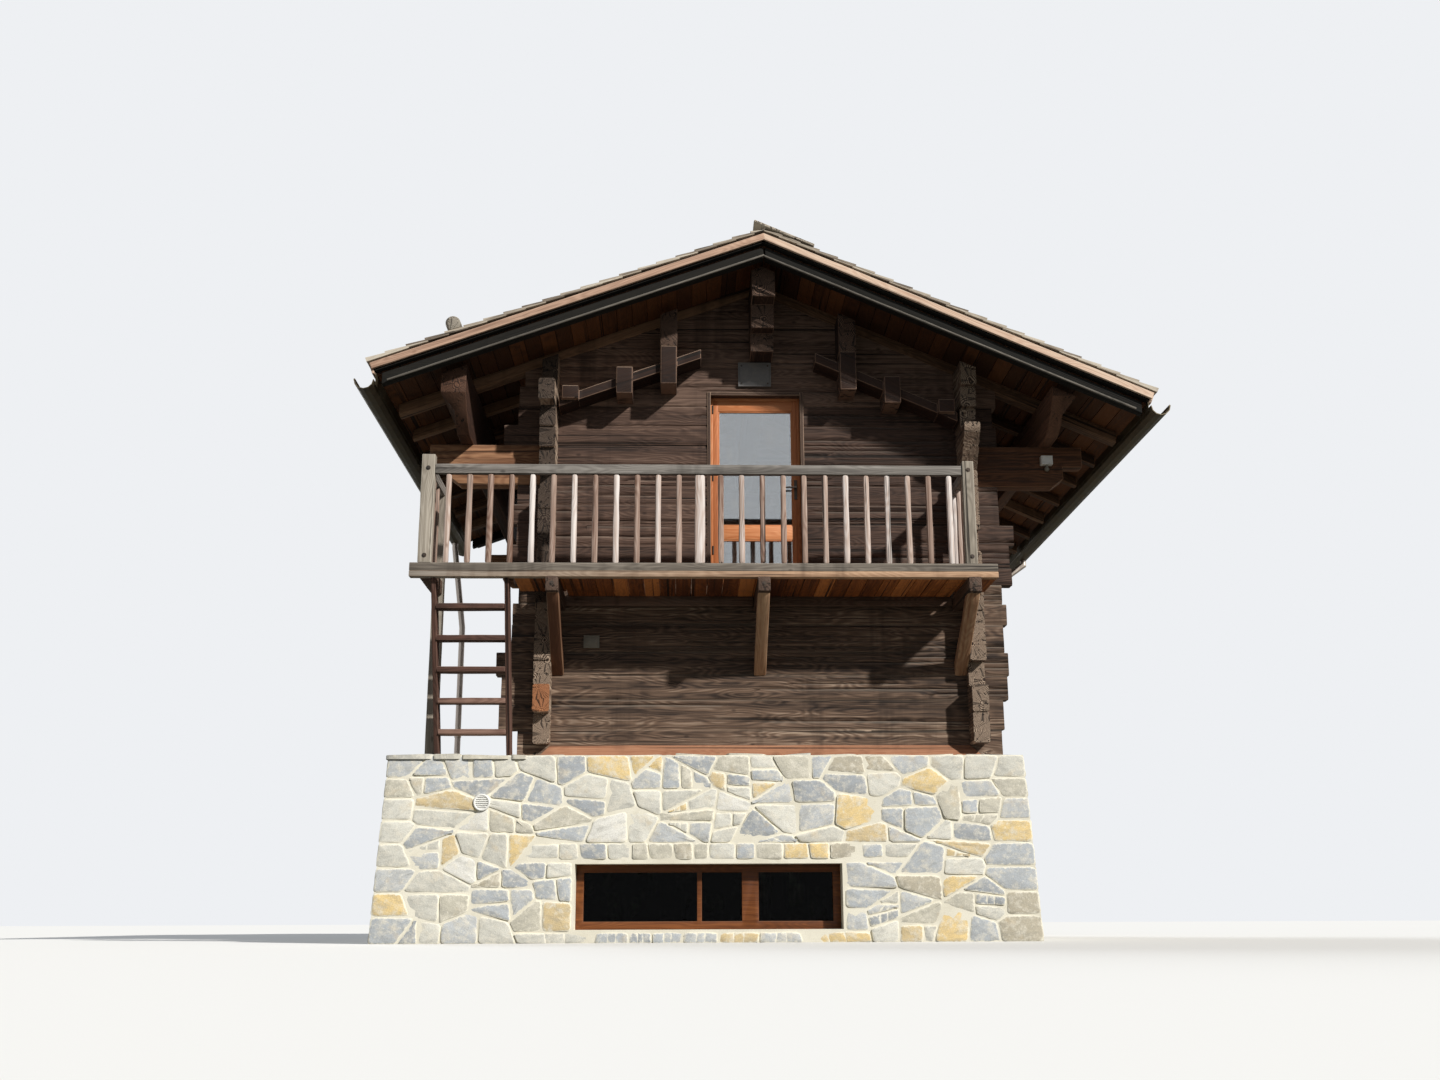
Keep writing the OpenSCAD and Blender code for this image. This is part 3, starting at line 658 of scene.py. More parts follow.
@dataclass(frozen=True)
class Timber(Finish):
    """Wood that reads the grain and the marks kept on its piece.

    Its colours are the dark, the middle and the light one. Old ones take over towards the left,
    and renewed log ends have two fresh ones.
    """

    colors: str
    tone_range: float = 0.35
    dust: float = 0.5
    dust_and_highlight_color: str = "969086"
    damp: float = 0.6
    cracks: float = 1.0
    knots: float = 0.7
    relief: float = 0.0035
    arris: float = 0.35
    roughness: float = 0.78
    contrast: Point = (0.34, 0.98)
    old: str = ""
    old_x: Point = (-2.6, 0.8)
    fresh: str = "7a4a2e c4865c"

    def dress(self, graph: Graph, surface: Node) -> None:
        """Builds the wood from its grain, its marks and the weather."""
        dark, _, light = self.colors.split()
        grain = graph.attribute("grain")
        marks = graph.split(graph.attribute("marks"))
        wood = graph.group(timber_grain(), {"Grain": grain, "Cracks": self.cracks})
        ends = graph.group(end_grain(), {"Grain": grain})
        weather = graph.group(weather_marks(), {"Dust": self.dust, "Damp": self.damp})
        tone = graph.fit(marks["X"], 0, 1, -self.tone_range / 2, self.tone_range / 2)
        share = graph.fit(graph.total(
            (wood["Fibres"], 0.75), (wood["Rings"], 0.12), (wood["Broad"], 0.5), (tone, 1)), *self.contrast)
        color = graph.ramp(share, self.colors)
        if self.old:
            across = graph.math("ADD", graph.split(graph.place())["X"], wood["Broad"])
            color = graph.mix(graph.fit(across, *self.old_x), graph.ramp(share, self.old), color)
        sawn = graph.ramp(ends["Rings"], self.colors, (0.0, 0.4, 1.0))
        # Ends marked 2 go dark: partly weathered end grain, partly painted shade.
        sawn = graph.mix(graph.fit(marks["Z"], 1, 2, 0, 0.8), sawn, dark)
        fresh = graph.ramp(ends["Rings"], self.fresh, (0.0, 1.0))
        sawn = graph.mix(graph.fit(marks["Z"], 2, 3, 0, 0.85), sawn, fresh)
        sawn = graph.mix(graph.times(ends["Cracks"], 0.8), sawn, "120d0a")
        # Layers laid on in turn: knots, lightened arrises, damp, a layer on upward faces, sawn ends and
        # cracks. The upward layer is dust on most woods; on the bracket wood, it and the lightened arrises
        # are a painted highlight.
        for amount, layer in (
                (graph.times(wood["Knots"], self.knots), dark), (graph.times(marks["Y"], self.arris), light),
                (weather["Damp"], dark), (weather["Dust"], self.dust_and_highlight_color), (marks["Z"], sawn),
                (graph.times(wood["Cracks"], 0.85), "100b08")):
            color = graph.mix(amount, color, layer)
        height = graph.total((wood["Height"], 1), (graph.times(ends["Cracks"], marks["Z"]), -0.8))
        graph.feed(surface, {
            "Base Color": color, "Specular IOR Level": 0.3,
            "Roughness": graph.fit(wood["Fibres"], 0.2, 0.8, self.roughness - 0.12, self.roughness + 0.12),
            "Normal": graph.bump(height, 0.9, self.relief)})


@dataclass(frozen=True)
class Rubble(Finish):
    """Natural stones, each with its own colour out of a few."""

    colors: str
    stops: tuple[float, ...]
    vein: str = "f0ebdc"
    stain: str = "a09f98"
    mortar: str = "f2eede"
    smear: float = 0.9
    relief: float = 0.007

    def dress(self, graph: Graph, surface: Node) -> None:
        """Builds the stone from its tone, clouds of colour, veins, speckle and smeared mortar."""
        place = graph.attribute("grain")
        grit = graph.group(speckle(), {"Vector": place})
        rim = graph.split(graph.attribute("rim"))["X"]
        color = graph.ramp(graph.split(graph.attribute("marks"))["X"], self.colors, self.stops, steps=True)
        clouds = graph.noise(graph.stretch(place, (7, 18, 18)), 1.0, 5, 0.7)
        edge = graph.math("ADD", rim, graph.fit(graph.noise(place, 24, 4, 0.65), 0.3, 0.7, -0.6, 0.6))
        for amount, layer in (
                (graph.fit(clouds, 0.45, 0.72, 0.0, 0.5), self.stain),
                (graph.fit(grit["Coarse"], 0.48, 0.66, 0.0, 0.65), self.vein),
                (graph.fit(grit["Fine"], 0.35, 0.65, 0.2, 0.0), "464442"),
                (graph.fit(graph.noise(place, 5, 3), 0.6, 0.75, 0.0, 0.3), "dec088"),
                (graph.times(graph.fit(edge, 0.25, 0.8), self.smear), self.mortar)):
            color = graph.mix(amount, color, layer)
        graph.feed(surface, {
            "Base Color": color, "Roughness": graph.fit(grit["Coarse"], 0.3, 0.7, 0.72, 0.92),
            "Specular IOR Level": 0.3, "Normal": graph.bump(grit["Height"], 0.8, self.relief)})


@dataclass(frozen=True)
class Mineral(Finish):
    """Mortar or concrete, one colour with sand, pits and weather in it."""

    base: str
    shade: str
    relief: float = 0.003

    def dress(self, graph: Graph, surface: Node) -> None:
        """Builds the surface on object coordinates."""
        place = graph.place()
        grit = graph.group(speckle(), {"Vector": place})
        color = graph.mix(graph.fit(graph.noise(place, 2.3, 4), 0.4, 0.7, 0.0, 0.7), self.base, self.shade)
        color = graph.mix(graph.fit(grit["Coarse"], 0.52, 0.75, 0.0, 0.5), color, self.shade)
        color = graph.mix(graph.fit(grit["Fine"], 0.3, 0.6, 0.14, 0.0), color, "5a544a")
        graph.feed(surface, {"Base Color": color, "Roughness": 0.92, "Specular IOR Level": 0.25,
                             "Normal": graph.bump(grit["Height"], 0.7, self.relief)})


@dataclass(frozen=True)
class Metal(Finish):
    """Sheet metal or iron, dulled by the weather."""

    base: str
    patina: str
    roughness: float = 0.5
    metallic: float = 0.85

    def dress(self, graph: Graph, surface: Node) -> None:
        """Builds the metal on object coordinates."""
        place = graph.place()
        clouds = graph.noise(graph.stretch(place, (3, 3, 1)), 2.5, 5, 0.6)
        spots = graph.noise(place, 45, 3)
        color = graph.mix(graph.fit(clouds, 0.4, 0.68), self.base, self.patina)
        color = graph.mix(graph.fit(spots, 0.55, 0.7, 0.0, 0.35), color, self.patina)
        graph.feed(surface, {
            "Base Color": color, "Metallic": self.metallic, "Normal": graph.bump(spots, 0.25, 0.001),
            "Roughness": graph.fit(clouds, 0.3, 0.7, self.roughness - 0.1, self.roughness + 0.2)})


@dataclass(frozen=True)
class Plastic(Finish):
    """Moulded plastic, faintly grained and a little dusty."""

    base: str
    roughness: float = 0.42

    def dress(self, graph: Graph, surface: Node) -> None:
        """Builds the plastic on object coordinates."""
        place = graph.place()
        dust = graph.noise(place, 16, 4)
        graph.feed(surface, {
            "Base Color": graph.mix(graph.fit(dust, 0.45, 0.75, 0.0, 0.35), self.base, "969188"),
            "Normal": graph.bump(graph.noise(place, 700, 2), 0.2, 0.0004),
            "Roughness": graph.fit(dust, 0.3, 0.7, self.roughness, self.roughness + 0.18)})


@dataclass(frozen=True)
class Glazing(Finish):
    """Window glass with a trace of dust, dark from outside where its tint is dark: painted shade of an unlit
    room behind it.
    """

    tint: str = "c4d0d6"
    index: float = 1.5
    coat: float = 0.0

    def dress(self, graph: Graph, surface: Node) -> None:
        """Builds the glass on object coordinates."""
        place = graph.place()
        streaks = graph.noise(graph.stretch(place, (9, 9, 1.2)), 1, 3)
        film = graph.times(graph.fit(graph.noise(place, 3.5, 5), 0.45, 0.8), graph.fit(streaks, 0.4, 0.8))
        graph.feed(surface, {
            "Base Color": graph.mix(film, self.tint, "deded8"),
            "Roughness": graph.fit(film, 0.0, 1.0, 0.02, 0.12),
            "Transmission Weight": 1.0, "IOR": self.index, "Coat Weight": self.coat, "Coat IOR": 2.2,
            "Coat Roughness": 0.03, "Normal": graph.bump(graph.noise(place, 2.2, 1), 0.04, 0.01)})


LOGS = Timber("dark_logs", "dark_logs", "2a1f19 6e594a b8a490", tone_range=0.4, dust=0.55, relief=0.006,
              arris=0.1, contrast=(0.42, 0.88))
GABLE_LOGS = Timber("gable_logs", "dark_logs", "281c17 564238 866e60", tone_range=0.3, dust=0.3,
                    relief=0.007, arris=0.1, contrast=(0.4, 0.96))
# Bracket wood: the near-black colours are partly dark old wood and partly painted shade under the roof. The
# strong pale layer on upward faces and the lightened arrises are a painted highlight on the sunlit top edges.
BRACKET_WOOD = Timber("bracket_wood", "dark_logs", "1e130f 38261e 846a5a", dust=1.0, dust_and_highlight_color="ccb8a4",
                      arris=0.9, contrast=(0.36, 1.3))
ARM_WOOD = Timber("arm_wood", "dark_logs", "3c261a 744e36 aa8060", dust=0.3, contrast=(0.4, 0.95))
PURLIN_WOOD = Timber("purlin_wood", "dark_logs", "261913 4a3125 745442", dust=0.4)
OLD_WOOD = Timber("weathered_wood", "weathered_wood", "524b43 8a8276 beb6a8", tone_range=0.3, dust=0.5,
                  dust_and_highlight_color="b4afa6")
BEAM_WOOD = Timber("beam_wood", "weathered_wood", "403a34 70685f 9c9388", tone_range=0.25, dust=0.5,
                   dust_and_highlight_color="96928c")
EDGE_WOOD = Timber("edge_wood", "pale_wood", "5e4432 967258 c4a284", dust=0.3, damp=0.5,
                   old="403a34 70685f 9c9388")
POST_WOOD = Timber("post_wood", "weathered_wood", "625a50 9e9588 d0c8bb", tone_range=0.3, dust=0.5,
                   dust_and_highlight_color="beb9b0")
RAIL_WOOD = Timber("rail_wood", "weathered_wood", "3f3c38 746f6a a39e98", tone_range=0.3, dust=0.5,
                   dust_and_highlight_color="a4a09b")
RAIL_BARS = Timber("rail_bars", "weathered_wood", "765a4c baa497 e8e0dc", tone_range=0.5, dust=0.3,
                   damp=0.4, arris=0.0)
STAIR_WOOD = Timber("stair_wood", "red_wood", "34241e 5e4238 96786a", dust=0.8, dust_and_highlight_color="a0968c")
SKIRT_WOOD = Timber("skirt_wood", "red_wood", "542a1a 824a32 b28264", tone_range=0.5, dust=0.2,
                    dust_and_highlight_color="ac8a70")
UNDER_WOOD = Timber("underside_wood", "underside_wood", "542b14 925428 c47c44", tone_range=0.7, dust=0.3)
# Roof wood: near-black, partly dark old wood and partly painted shade under the overhang.
ROOF_WOOD = Timber("roof_wood", "underside_wood", "1e120b 3c2315 6a4226", tone_range=0.9, dust=0.2)
RAFTER_WOOD = Timber("rafter_wood", "underside_wood", "32231a 5c4331 8c6c54", tone_range=0.6, dust=0.3,
                     arris=0.6)
JOIST_WOOD = Timber("joist_wood", "underside_wood", "2c201a 503c30 746054", dust=0.3)
BRACE_WOOD = Timber("brace_wood", "weathered_wood", "5c3c2a 90684c b69476", tone_range=0.6, dust=0.5,
                    dust_and_highlight_color="968e82")
# Near-black wood for the recess behind the verge boards and for the layer over the rafters: painted shade.
PAINTED_SHADE_WOOD = Timber("painted_shade_wood", "dark_logs", "080806 11100d 1e1c18", dust=0.0, arris=0.0, knots=0.0,
                    roughness=0.88)
DOOR_WOOD = Timber("door_wood", "door_wood", "92522c c27648 de9c6c", cracks=0.1, knots=0.25, relief=0.0012,
                   dust=0.15, damp=0.2, tone_range=0.2, roughness=0.5)
DOOR_TRIM = Timber("door_trim", "dark_logs", "322620 544238 baa08a", cracks=0.3, relief=0.002, dust=0.4,
                   arris=0.9, contrast=(0.3, 1.3))
WINDOW_WOOD = Timber("window_wood", "window_wood", "3e210f 643718 8c542a", cracks=0.1, knots=0.3,
                     relief=0.0012, dust=0.3, damp=0.4, tone_range=0.2, roughness=0.5)
VERGE_WOOD = Timber("verge_wood", "pale_wood", "947461 cdab94 e8d0ba", dust=0.3, damp=0.3, cracks=0.4)
TRIM_WOOD = Timber("trim_wood", "pale_wood", "3e3b36 625d56 868077", dust=0.4, cracks=0.5)
SHINGLE_WOOD = Timber("shingle_wood", "wood_shingles", "70655a a89c8c cec4b4", tone_range=0.8, dust=0.25,
                      dust_and_highlight_color="bab4a8", damp=0.5, knots=0.0, relief=0.004)
STONE = Rubble("rubble_stone", "rubble_stone",
               "c2c8cd deddd3 b2b8be eae9df d4d0c0 ced2d4 f4d99e e6d0a2 c8c0ac f2f1ea",
               (0.0, 0.15, 0.32, 0.42, 0.56, 0.69, 0.82, 0.88, 0.92, 0.96))
FLAGS = Rubble("flagstone", "flagstone", "a4a29c b6b0a4 949698 c4bcaa", (0.0, 0.3, 0.55, 0.8), smear=0.4)
MORTAR = Mineral("mortar", "rubble_stone", "f2eede", "ded8c5")
CONCRETE = Mineral("concrete", "concrete", "b0aea8", "96948e")
GUTTER_METAL = Metal("gutter_metal", "dark_metal", "564e3e", "746b5a")
PIPE_METAL = Metal("pipe_metal", "dark_metal", "b2a69c", "cec4ba", 0.45)
IRON = Metal("iron", "dark_metal", "3a3634", "5c4e42", 0.6, 0.7)
WHITE_PLASTIC = Plastic("white_plastic", "white_plastic", "ecece8")
GREY_PLASTIC = Plastic("grey_plastic", "grey_plastic", "7a756a", 0.5)
PLATE_GREY = Plastic("grey_plate", "grey_plate", "706e6e", 0.6)
DOOR_GLASS = Glazing("door_glass", "window_glass", index=2.3, coat=1.0)
# Cellar glass: its dark tint is painted shade, the unlit room behind it.
CELLAR_GLASS = Glazing("cellar_glass", "window_glass", "3e4242", index=1.14)


# Studio


@dataclass(frozen=True)
class Lamp:
    """A far lamp: degrees from the front to the right, degrees up, its strength and degrees across."""

    azimuth: float
    height: float
    strength: float
    width: float
    color: tuple[float, float, float]
    distance: float = 30

    def hang(self) -> None:
        """Puts the lamp in the scene."""
        across, rise = math.radians(self.azimuth), math.radians(self.height)
        towards = Vector((math.sin(across) * math.cos(rise),
                          -math.cos(across) * math.cos(rise), math.sin(rise)))
        turn = towards.to_track_quat("Z", "Y").to_euler()
        bpy.ops.object.light_add(type="SUN", location=towards * self.distance, rotation=turn)
        configure(bpy.context.object.data, energy=self.strength, angle=math.radians(self.width),
                  color=self.color)


@dataclass
class Studio:
    """Floor, light and the camera at the photograph's viewing angle."""

    image_px: float = 1440
    focal_px: float = 1456
    film_mm: float = 36
    eye: tuple[float, float, float] = (-0.796, -17.061, 0.188)
    yaw: float = 1.55
    pitch: float = 14.7
    roll: float = -0.225
    far: float = 600
    sky_strength: float = 0.25
    floor_size: float = 400
    lamps: tuple[Lamp, Lamp] = (Lamp(43, 31, 4.3, 2, (1.0, 0.965, 0.91)),
                                Lamp(220, 38, 1.2, 30, (0.92, 0.96, 1.0)))

    def camera(self) -> None:
        """Sets the camera up from the place and angles fitted to the photograph."""
        yaw, pitch, roll = (math.radians(a) for a in (self.yaw, self.pitch, self.roll))
        right = Vector((math.cos(yaw), -math.sin(yaw), 0))
        ahead = Vector((math.sin(yaw) * math.cos(pitch), math.cos(yaw) * math.cos(pitch),
                        math.sin(pitch)))
        up = right.cross(ahead)
        turned_right = right * math.cos(roll) + up * math.sin(roll)
        turned_up = up * math.cos(roll) - right * math.sin(roll)
        turn = Matrix((turned_right, turned_up, -ahead)).transposed().to_euler()
        bpy.ops.object.camera_add(location=self.eye, rotation=turn)
        camera = bpy.context.object
        configure(camera.data, sensor_width=self.film_mm, clip_end=self.far,
                  lens=self.film_mm * self.focal_px / self.image_px)
        bpy.context.scene.camera = camera

    def floor(self) -> None:
        """Lays a pale plain floor."""
        bpy.ops.mesh.primitive_plane_add(size=self.floor_size, location=(0, 0, 0))
        plane = bpy.context.object
        plane.name = "floor"
        made = bpy.data.materials.new("studio_floor")
        made.use_nodes = True
        graph = Graph(made.node_tree)
        graph.tree.nodes.remove(graph.tree.nodes["Principled BSDF"])
        seen = graph.put("LightPath", {}, "Is Camera Ray")
        pale = graph.put("BsdfDiffuse", {"Color": "ececea"})
        dull = graph.put("BsdfDiffuse", {"Color": "72726c"})
        both = graph.put("MixShader", {0: seen, 1: dull, 2: pale})
        graph.feed(graph.tree.nodes["Material Output"], {"Surface": both})
        plane.data.materials.append(made)

    def light(self) -> None:
        """A key from the front right, a soft fill from behind and a pale sky all round."""
        for lamp in self.lamps:
            lamp.hang()
        world = bpy.data.worlds.new("studio")
        bpy.context.scene.world = world
        world.use_nodes = True
        graph = Graph(world.node_tree)
        graph.tree.nodes.clear()
        path = graph.put("LightPath", {}).node.outputs
        seen = graph.math("MAXIMUM", path["Is Camera Ray"], path["Is Glossy Ray"])
        seen = graph.math("MAXIMUM", seen, path["Is Transmission Ray"])
        sky = graph.put("Background", {"Color": "e2e7f0", "Strength": self.sky_strength})
        pale = graph.put("Background", {"Color": "eef0f3", "Strength": 1.0})
        both = graph.put("MixShader", {0: seen, 1: sky, 2: pale})
        graph.feed(graph.tree.nodes.new("ShaderNodeOutputWorld"), {"Surface": both})
        bpy.context.scene.view_settings.view_transform = "Standard"


# Stonework


def clip(polygon: list[Point], normal: Point, limit: float) -> list[Point]:
    """The part of a convex outline on the near side of a line.

    Args:
        polygon: Corners in order.
        normal: Unit normal of the line.
        limit: Distance of the line along the normal.

    Returns:
        The corners that are left, none if all are beyond the line.
    """
    kept: list[Point] = []
    for k, here in enumerate(polygon):
        before = polygon[k - 1]
        a = before[0] * normal[0] + before[1] * normal[1] - limit
        b = here[0] * normal[0] + here[1] * normal[1] - limit
        if (a < 0) != (b < 0):
            share = a / (a - b)
            kept.append((before[0] + (here[0] - before[0]) * share,
                         before[1] + (here[1] - before[1]) * share))
        if b < 0:
            kept.append(here)
    return kept


def area_of(polygon: list[Point]) -> float:
    """Area inside an outline."""
    return abs(sum(p[0] * q[1] - q[0] * p[1] for p, q in zip(polygon, polygon[1:] + polygon[:1]))) / 2


def breadth(polygon: list[Point]) -> float:
    """Least width of a convex outline, measured square to its sides."""
    widths = []
    for p, q in zip(polygon, polygon[1:] + polygon[:1]):
        length = math.hypot(q[0] - p[0], q[1] - p[1])
        if length > 0.001:
            across = ((p[1] - q[1]) / length, (q[0] - p[0]) / length)
            widths.append(max(abs((r[0] - p[0]) * across[0] + (r[1] - p[1]) * across[1]) for r in polygon))
    return min(widths, default=0.0)


@dataclass
class Site:
    """Where one patch of stones grows: its middle, its reach and its tone."""

    s: float
    t: float
    reach: float
    tone: float
    corner: bool = False


@dataclass
class Masonry:
    """A face of irregular stones in mortar, laid out flat and then put on its wall.

    Large patches come first. Slanting joints then split each into stones, so that squared
    stones, wedges and odd corners lie side by side.
    """

    name: str
    place: Matrix
    outline: list[Point]
    seed: int
    finish: Finish
    openings: Sequence[Rect] = ()
    rows: Sequence[Rect] = ()
    corners: Sequence[Site] = ()
    patch_range: Point = (0.2, 0.4)
    stone_range: Point = (0.028, 0.082)
    row_stone: Point = (0.14, 0.3)
    smallest: float = 0.0045
    narrowest: float = 0.055
    flatten: float = 1.5
    gap: float = 0.02
    proud: float = 0.008
    bed: float = 0.03
    reveal: float = 0.03
    relief: float = 0.016
    near: float = 1.4
    tries_per_area: int = 500

    def sites(self, draw: random.Random) -> list[Site]:
        """Scatters the patches, the large ones first."""
        low = [min(p[k] for p in self.outline) for k in (0, 1)]
        high = [max(p[k] for p in self.outline) for k in (0, 1)]
        found = list(self.corners)
        tries = int((high[0] - low[0]) * (high[1] - low[1]) * self.tries_per_area)
        for attempt in range(tries):
            share = attempt / tries
            top = self.patch_range[1] + (self.patch_range[0] - self.patch_range[1]) * share
            reach = draw.uniform(max(self.patch_range[0], top * 0.75), top)
            s, t = draw.uniform(low[0], high[0]), draw.uniform(low[1], high[1])
            if all(math.hypot(s - o.s, (t - o.t) * self.flatten) > (reach + o.reach) * 0.8
                   for o in found):
                found.append(Site(s, t, reach, draw.random()))
        return found

    def patch(self, site: Site, sites: list[Site]) -> list[Point]:
        """The outline of one patch: the ground nearer to its site than to any other."""
        outline = list(self.outline)
        for other in sites:
            if other is site or math.hypot(other.s - site.s, other.t - site.t) > self.near:
                continue
            ds, dt = other.s - site.s, (other.t - site.t) * self.flatten
            share = 0.5 + (site.reach ** 2 - other.reach ** 2) / (2 * (ds * ds + dt * dt))
            if site.corner and other.corner:
                share = 0.5
            normal = (ds, dt * self.flatten)
            length = math.hypot(*normal)
            middle = (site.s + ds * share, site.t + (other.t - site.t) * share)
            limit = (middle[0] * normal[0] + middle[1] * normal[1]) / length - self.gap / 2
            outline = clip(outline, (normal[0] / length, normal[1] / length), limit)
        return outline

    def around(self, outline: list[Point], rect: Rect, band: float) -> list[list[Point]]:
        """What is left of a stone round a rectangle: up to four stones, with joints."""
        s, t = [p[0] for p in outline], [p[1] for p in outline]
        if (max(s, default=0) < rect[0] - band or min(s, default=0) > rect[2] + band
                or max(t, default=0) < rect[1] - band or min(t, default=0) > rect[3] + band):
            return [outline]
        pieces = []
        rest = outline
        for normal, limit in (((0.0, 1.0), rect[1]), ((0.0, -1.0), -rect[3]),
                              ((1.0, 0.0), rect[0]), ((-1.0, 0.0), -rect[2])):
            pieces.append(clip(rest, normal, limit - band))
            rest = clip(rest, (-normal[0], -normal[1]), band - limit - self.gap)
        return [piece for piece in pieces if len(piece) > 2]

    def split(self, outline: list[Point], goal: float, draw: random.Random) -> list[list[Point]]:
        """Splits a stone by level, upright and slanting joints until it is small enough.

        Args:
            outline: Its corners.
            goal: About how large its stones become.
            draw: Where the joints' places come from.

        Returns:
            The outlines of its stones.
        """
        if area_of(outline) < goal * draw.uniform(0.8, 2.0):
            return [outline]
        wide = max(p[0] for p in outline) - min(p[0] for p in outline)
        tall = max(p[1] for p in outline) - min(p[1] for p in outline)
        angle = 0.0 if wide > tall * draw.uniform(1.2, 2.1) else math.pi / 2
        angle += draw.gauss(0, 0.07) if draw.random() < 0.82 else draw.uniform(-0.45, 0.45)
        normal = (math.cos(angle), math.sin(angle))
        reaches = [p[0] * normal[0] + p[1] * normal[1] for p in outline]
        at = min(reaches) + (max(reaches) - min(reaches)) * draw.uniform(0.36, 0.64)
        halves = (clip(outline, normal, at - self.gap / 2),
                  clip(outline, (-normal[0], -normal[1]), -at - self.gap / 2))
        return [stone for half in halves if len(half) > 2 for stone in self.split(half, goal, draw)]

    def row(self, rect: Rect, draw: random.Random) -> list[list[Point]]:
        """One course of squared stones."""
        stones = []
        start, lean = rect[0], 0.0
        half = self.gap / 2
        while rect[2] - start > self.row_stone[0]:
            end = start + draw.uniform(*self.row_stone)
            if rect[2] - end < self.row_stone[0]:
                end = rect[2]
            tilt = draw.gauss(0, 0.006)
            stones.append([(start + half - lean, rect[1] + half), (end - half - tilt, rect[1] + half),
                           (end - half + tilt, rect[3] - half), (start + half + lean, rect[3] - half)])
            start, lean = end, tilt
        return stones

    def stones(self) -> list[tuple[Site, list[Point]]]:
        """The outline of every stone, with its middle and its tone."""
        draw = random.Random(self.seed)
        sites = self.sites(draw)
        found = []
        for site in sites:
            pieces = [self.patch(site, sites)]
            for rect, band in [(r, self.reveal) for r in self.openings] + [(r, 0.0) for r in self.rows]:
                pieces = [left for piece in pieces for left in self.around(piece, rect, band)]
            if site.corner:
                found += [(site, piece) for piece in pieces]
                continue
            low, high = (math.log(end) for end in self.stone_range)
            goal = math.exp(draw.uniform(low, high))
            found += [(Site(site.s, site.t, 0, draw.random()), stone)
                      for piece in pieces for stone in self.split(piece, goal, draw)]
        for rect in self.rows:
            found += [(Site(0, 0, 0, draw.random()), stone) for stone in self.row(rect, draw)]
        return [(site, stone) for site, stone in found
                if len(stone) > 2 and area_of(stone) > self.smallest
                and breadth(stone) > self.narrowest]

    def build(self) -> None:
        """Models the stones and puts them on the wall."""
        stones = self.stones()
        with editing(new_piece(self.name)) as obj:
            for _, outline in stones:
                bpy.ops.mesh.primitive_circle_add(vertices=len(outline), fill_type="NGON")
            mesh = bmesh.from_edit_mesh(obj.data)
            corners = (corner for _, outline in stones for corner in outline)
            for vert, corner in zip(mesh.verts, corners):
                vert.co = (*corner, 0)
            bmesh.update_edit_mesh(obj.data)
            face_out()
            bpy.ops.mesh.remove_doubles(threshold=0.006)
            bpy.ops.mesh.bevel(affect="VERTICES", offset_type="PERCENT", offset_pct=12, segments=2)
            pick(obj, Pick.EDGES, lambda edge: edge.calc_length() > 0.075)
            bpy.ops.mesh.subdivide(number_cuts=2)
            select_all()
            bpy.ops.mesh.extrude_region_move(
                TRANSFORM_OT_translate={"value": (0, 0, self.bed + self.proud * 0.4)})
            bpy.ops.mesh.select_mode(type="FACE")
            bpy.ops.mesh.inset(thickness=0.007, depth=self.proud * 0.35, use_individual=True)
            bpy.ops.mesh.inset(thickness=0.012, depth=self.proud * 0.25, use_individual=True)
            bpy.ops.mesh.poke()
            face_out()
        self.settle(obj.data, stones)
        roughen(obj, 0.09, self.relief)
        roughen(obj, 0.03, self.relief * 0.4)
        places, corners = vertex_places(obj.data), np.array(self.outline)
        places[:, :2] = np.clip(places[:, :2], corners.min(axis=0), corners.max(axis=0))
        move_vertices(obj.data, places)
        obj.matrix_world = self.place
        smooth(obj, 42)
        complete(obj, self.finish)

    def settle(self, mesh: Mesh, stones: list[tuple[Site, list[Point]]]) -> None:
        """Tips each stone a little, sets its depth and keeps its tone.

        Args:
            mesh: The stones, still flat.
            stones: Their sites and outlines.
        """
        draw = np.random.default_rng(self.seed)
        places, parts = vertex_places(mesh), loose_parts(mesh)
        count = parts.max() + 1
        foot = places[:, 2] < 0.001
        low, high = np.full((count, 2), 1e9), np.full((count, 2), -1e9)
        np.minimum.at(low, parts[foot], places[foot, :2])
        np.maximum.at(high, parts[foot], places[foot, :2])
        places[:, :2] = np.clip(places[:, :2], low[parts], high[parts])
        middles = part_middles(places, parts)
        centres = np.array([np.mean(outline, axis=0) for _, outline in stones])
        nearest = np.argmin(((middles[:, None] - centres[None]) ** 2).sum(axis=2), axis=1)
        tone = np.array([site.tone for site, _ in stones])[nearest]
        loose = np.array([not site.corner for site, _ in stones])[nearest]
        lean = draw.normal(0, 0.03, (count, 2)) * loose[:, None]
        depth = draw.uniform(-0.004, 0.006, count) * loose
        grain = places.copy()
        turn = draw.uniform(-0.5, 0.5, count)[parts]
        x, y = places[:, 0], places[:, 1]
        grain[:, 0] = x * np.cos(turn) + y * np.sin(turn) + parts * 3.7
        grain[:, 1] = y * np.cos(turn) - x * np.sin(turn)
        outer = self.bed + self.proud * 0.4
        rim = np.clip(1 - (places[:, 2] - outer) / (self.proud * 0.6), 0, 1)
        top = places[:, 2] > self.bed * 0.5
        away = places[:, :2] - middles[parts]
        places[:, 2] += np.where(top, (away * lean[parts]).sum(axis=1) + depth[parts], 0)
        places[:, 2] -= self.bed
        move_vertices(mesh, places)
        store(mesh, "grain", "POINT", grain)
        store(mesh, "rim", "POINT", np.stack((rim, rim, rim), axis=1))
        store(mesh, "marks", "FACE", tone[face_parts(mesh, parts)][:, None] * (1, 0, 0))


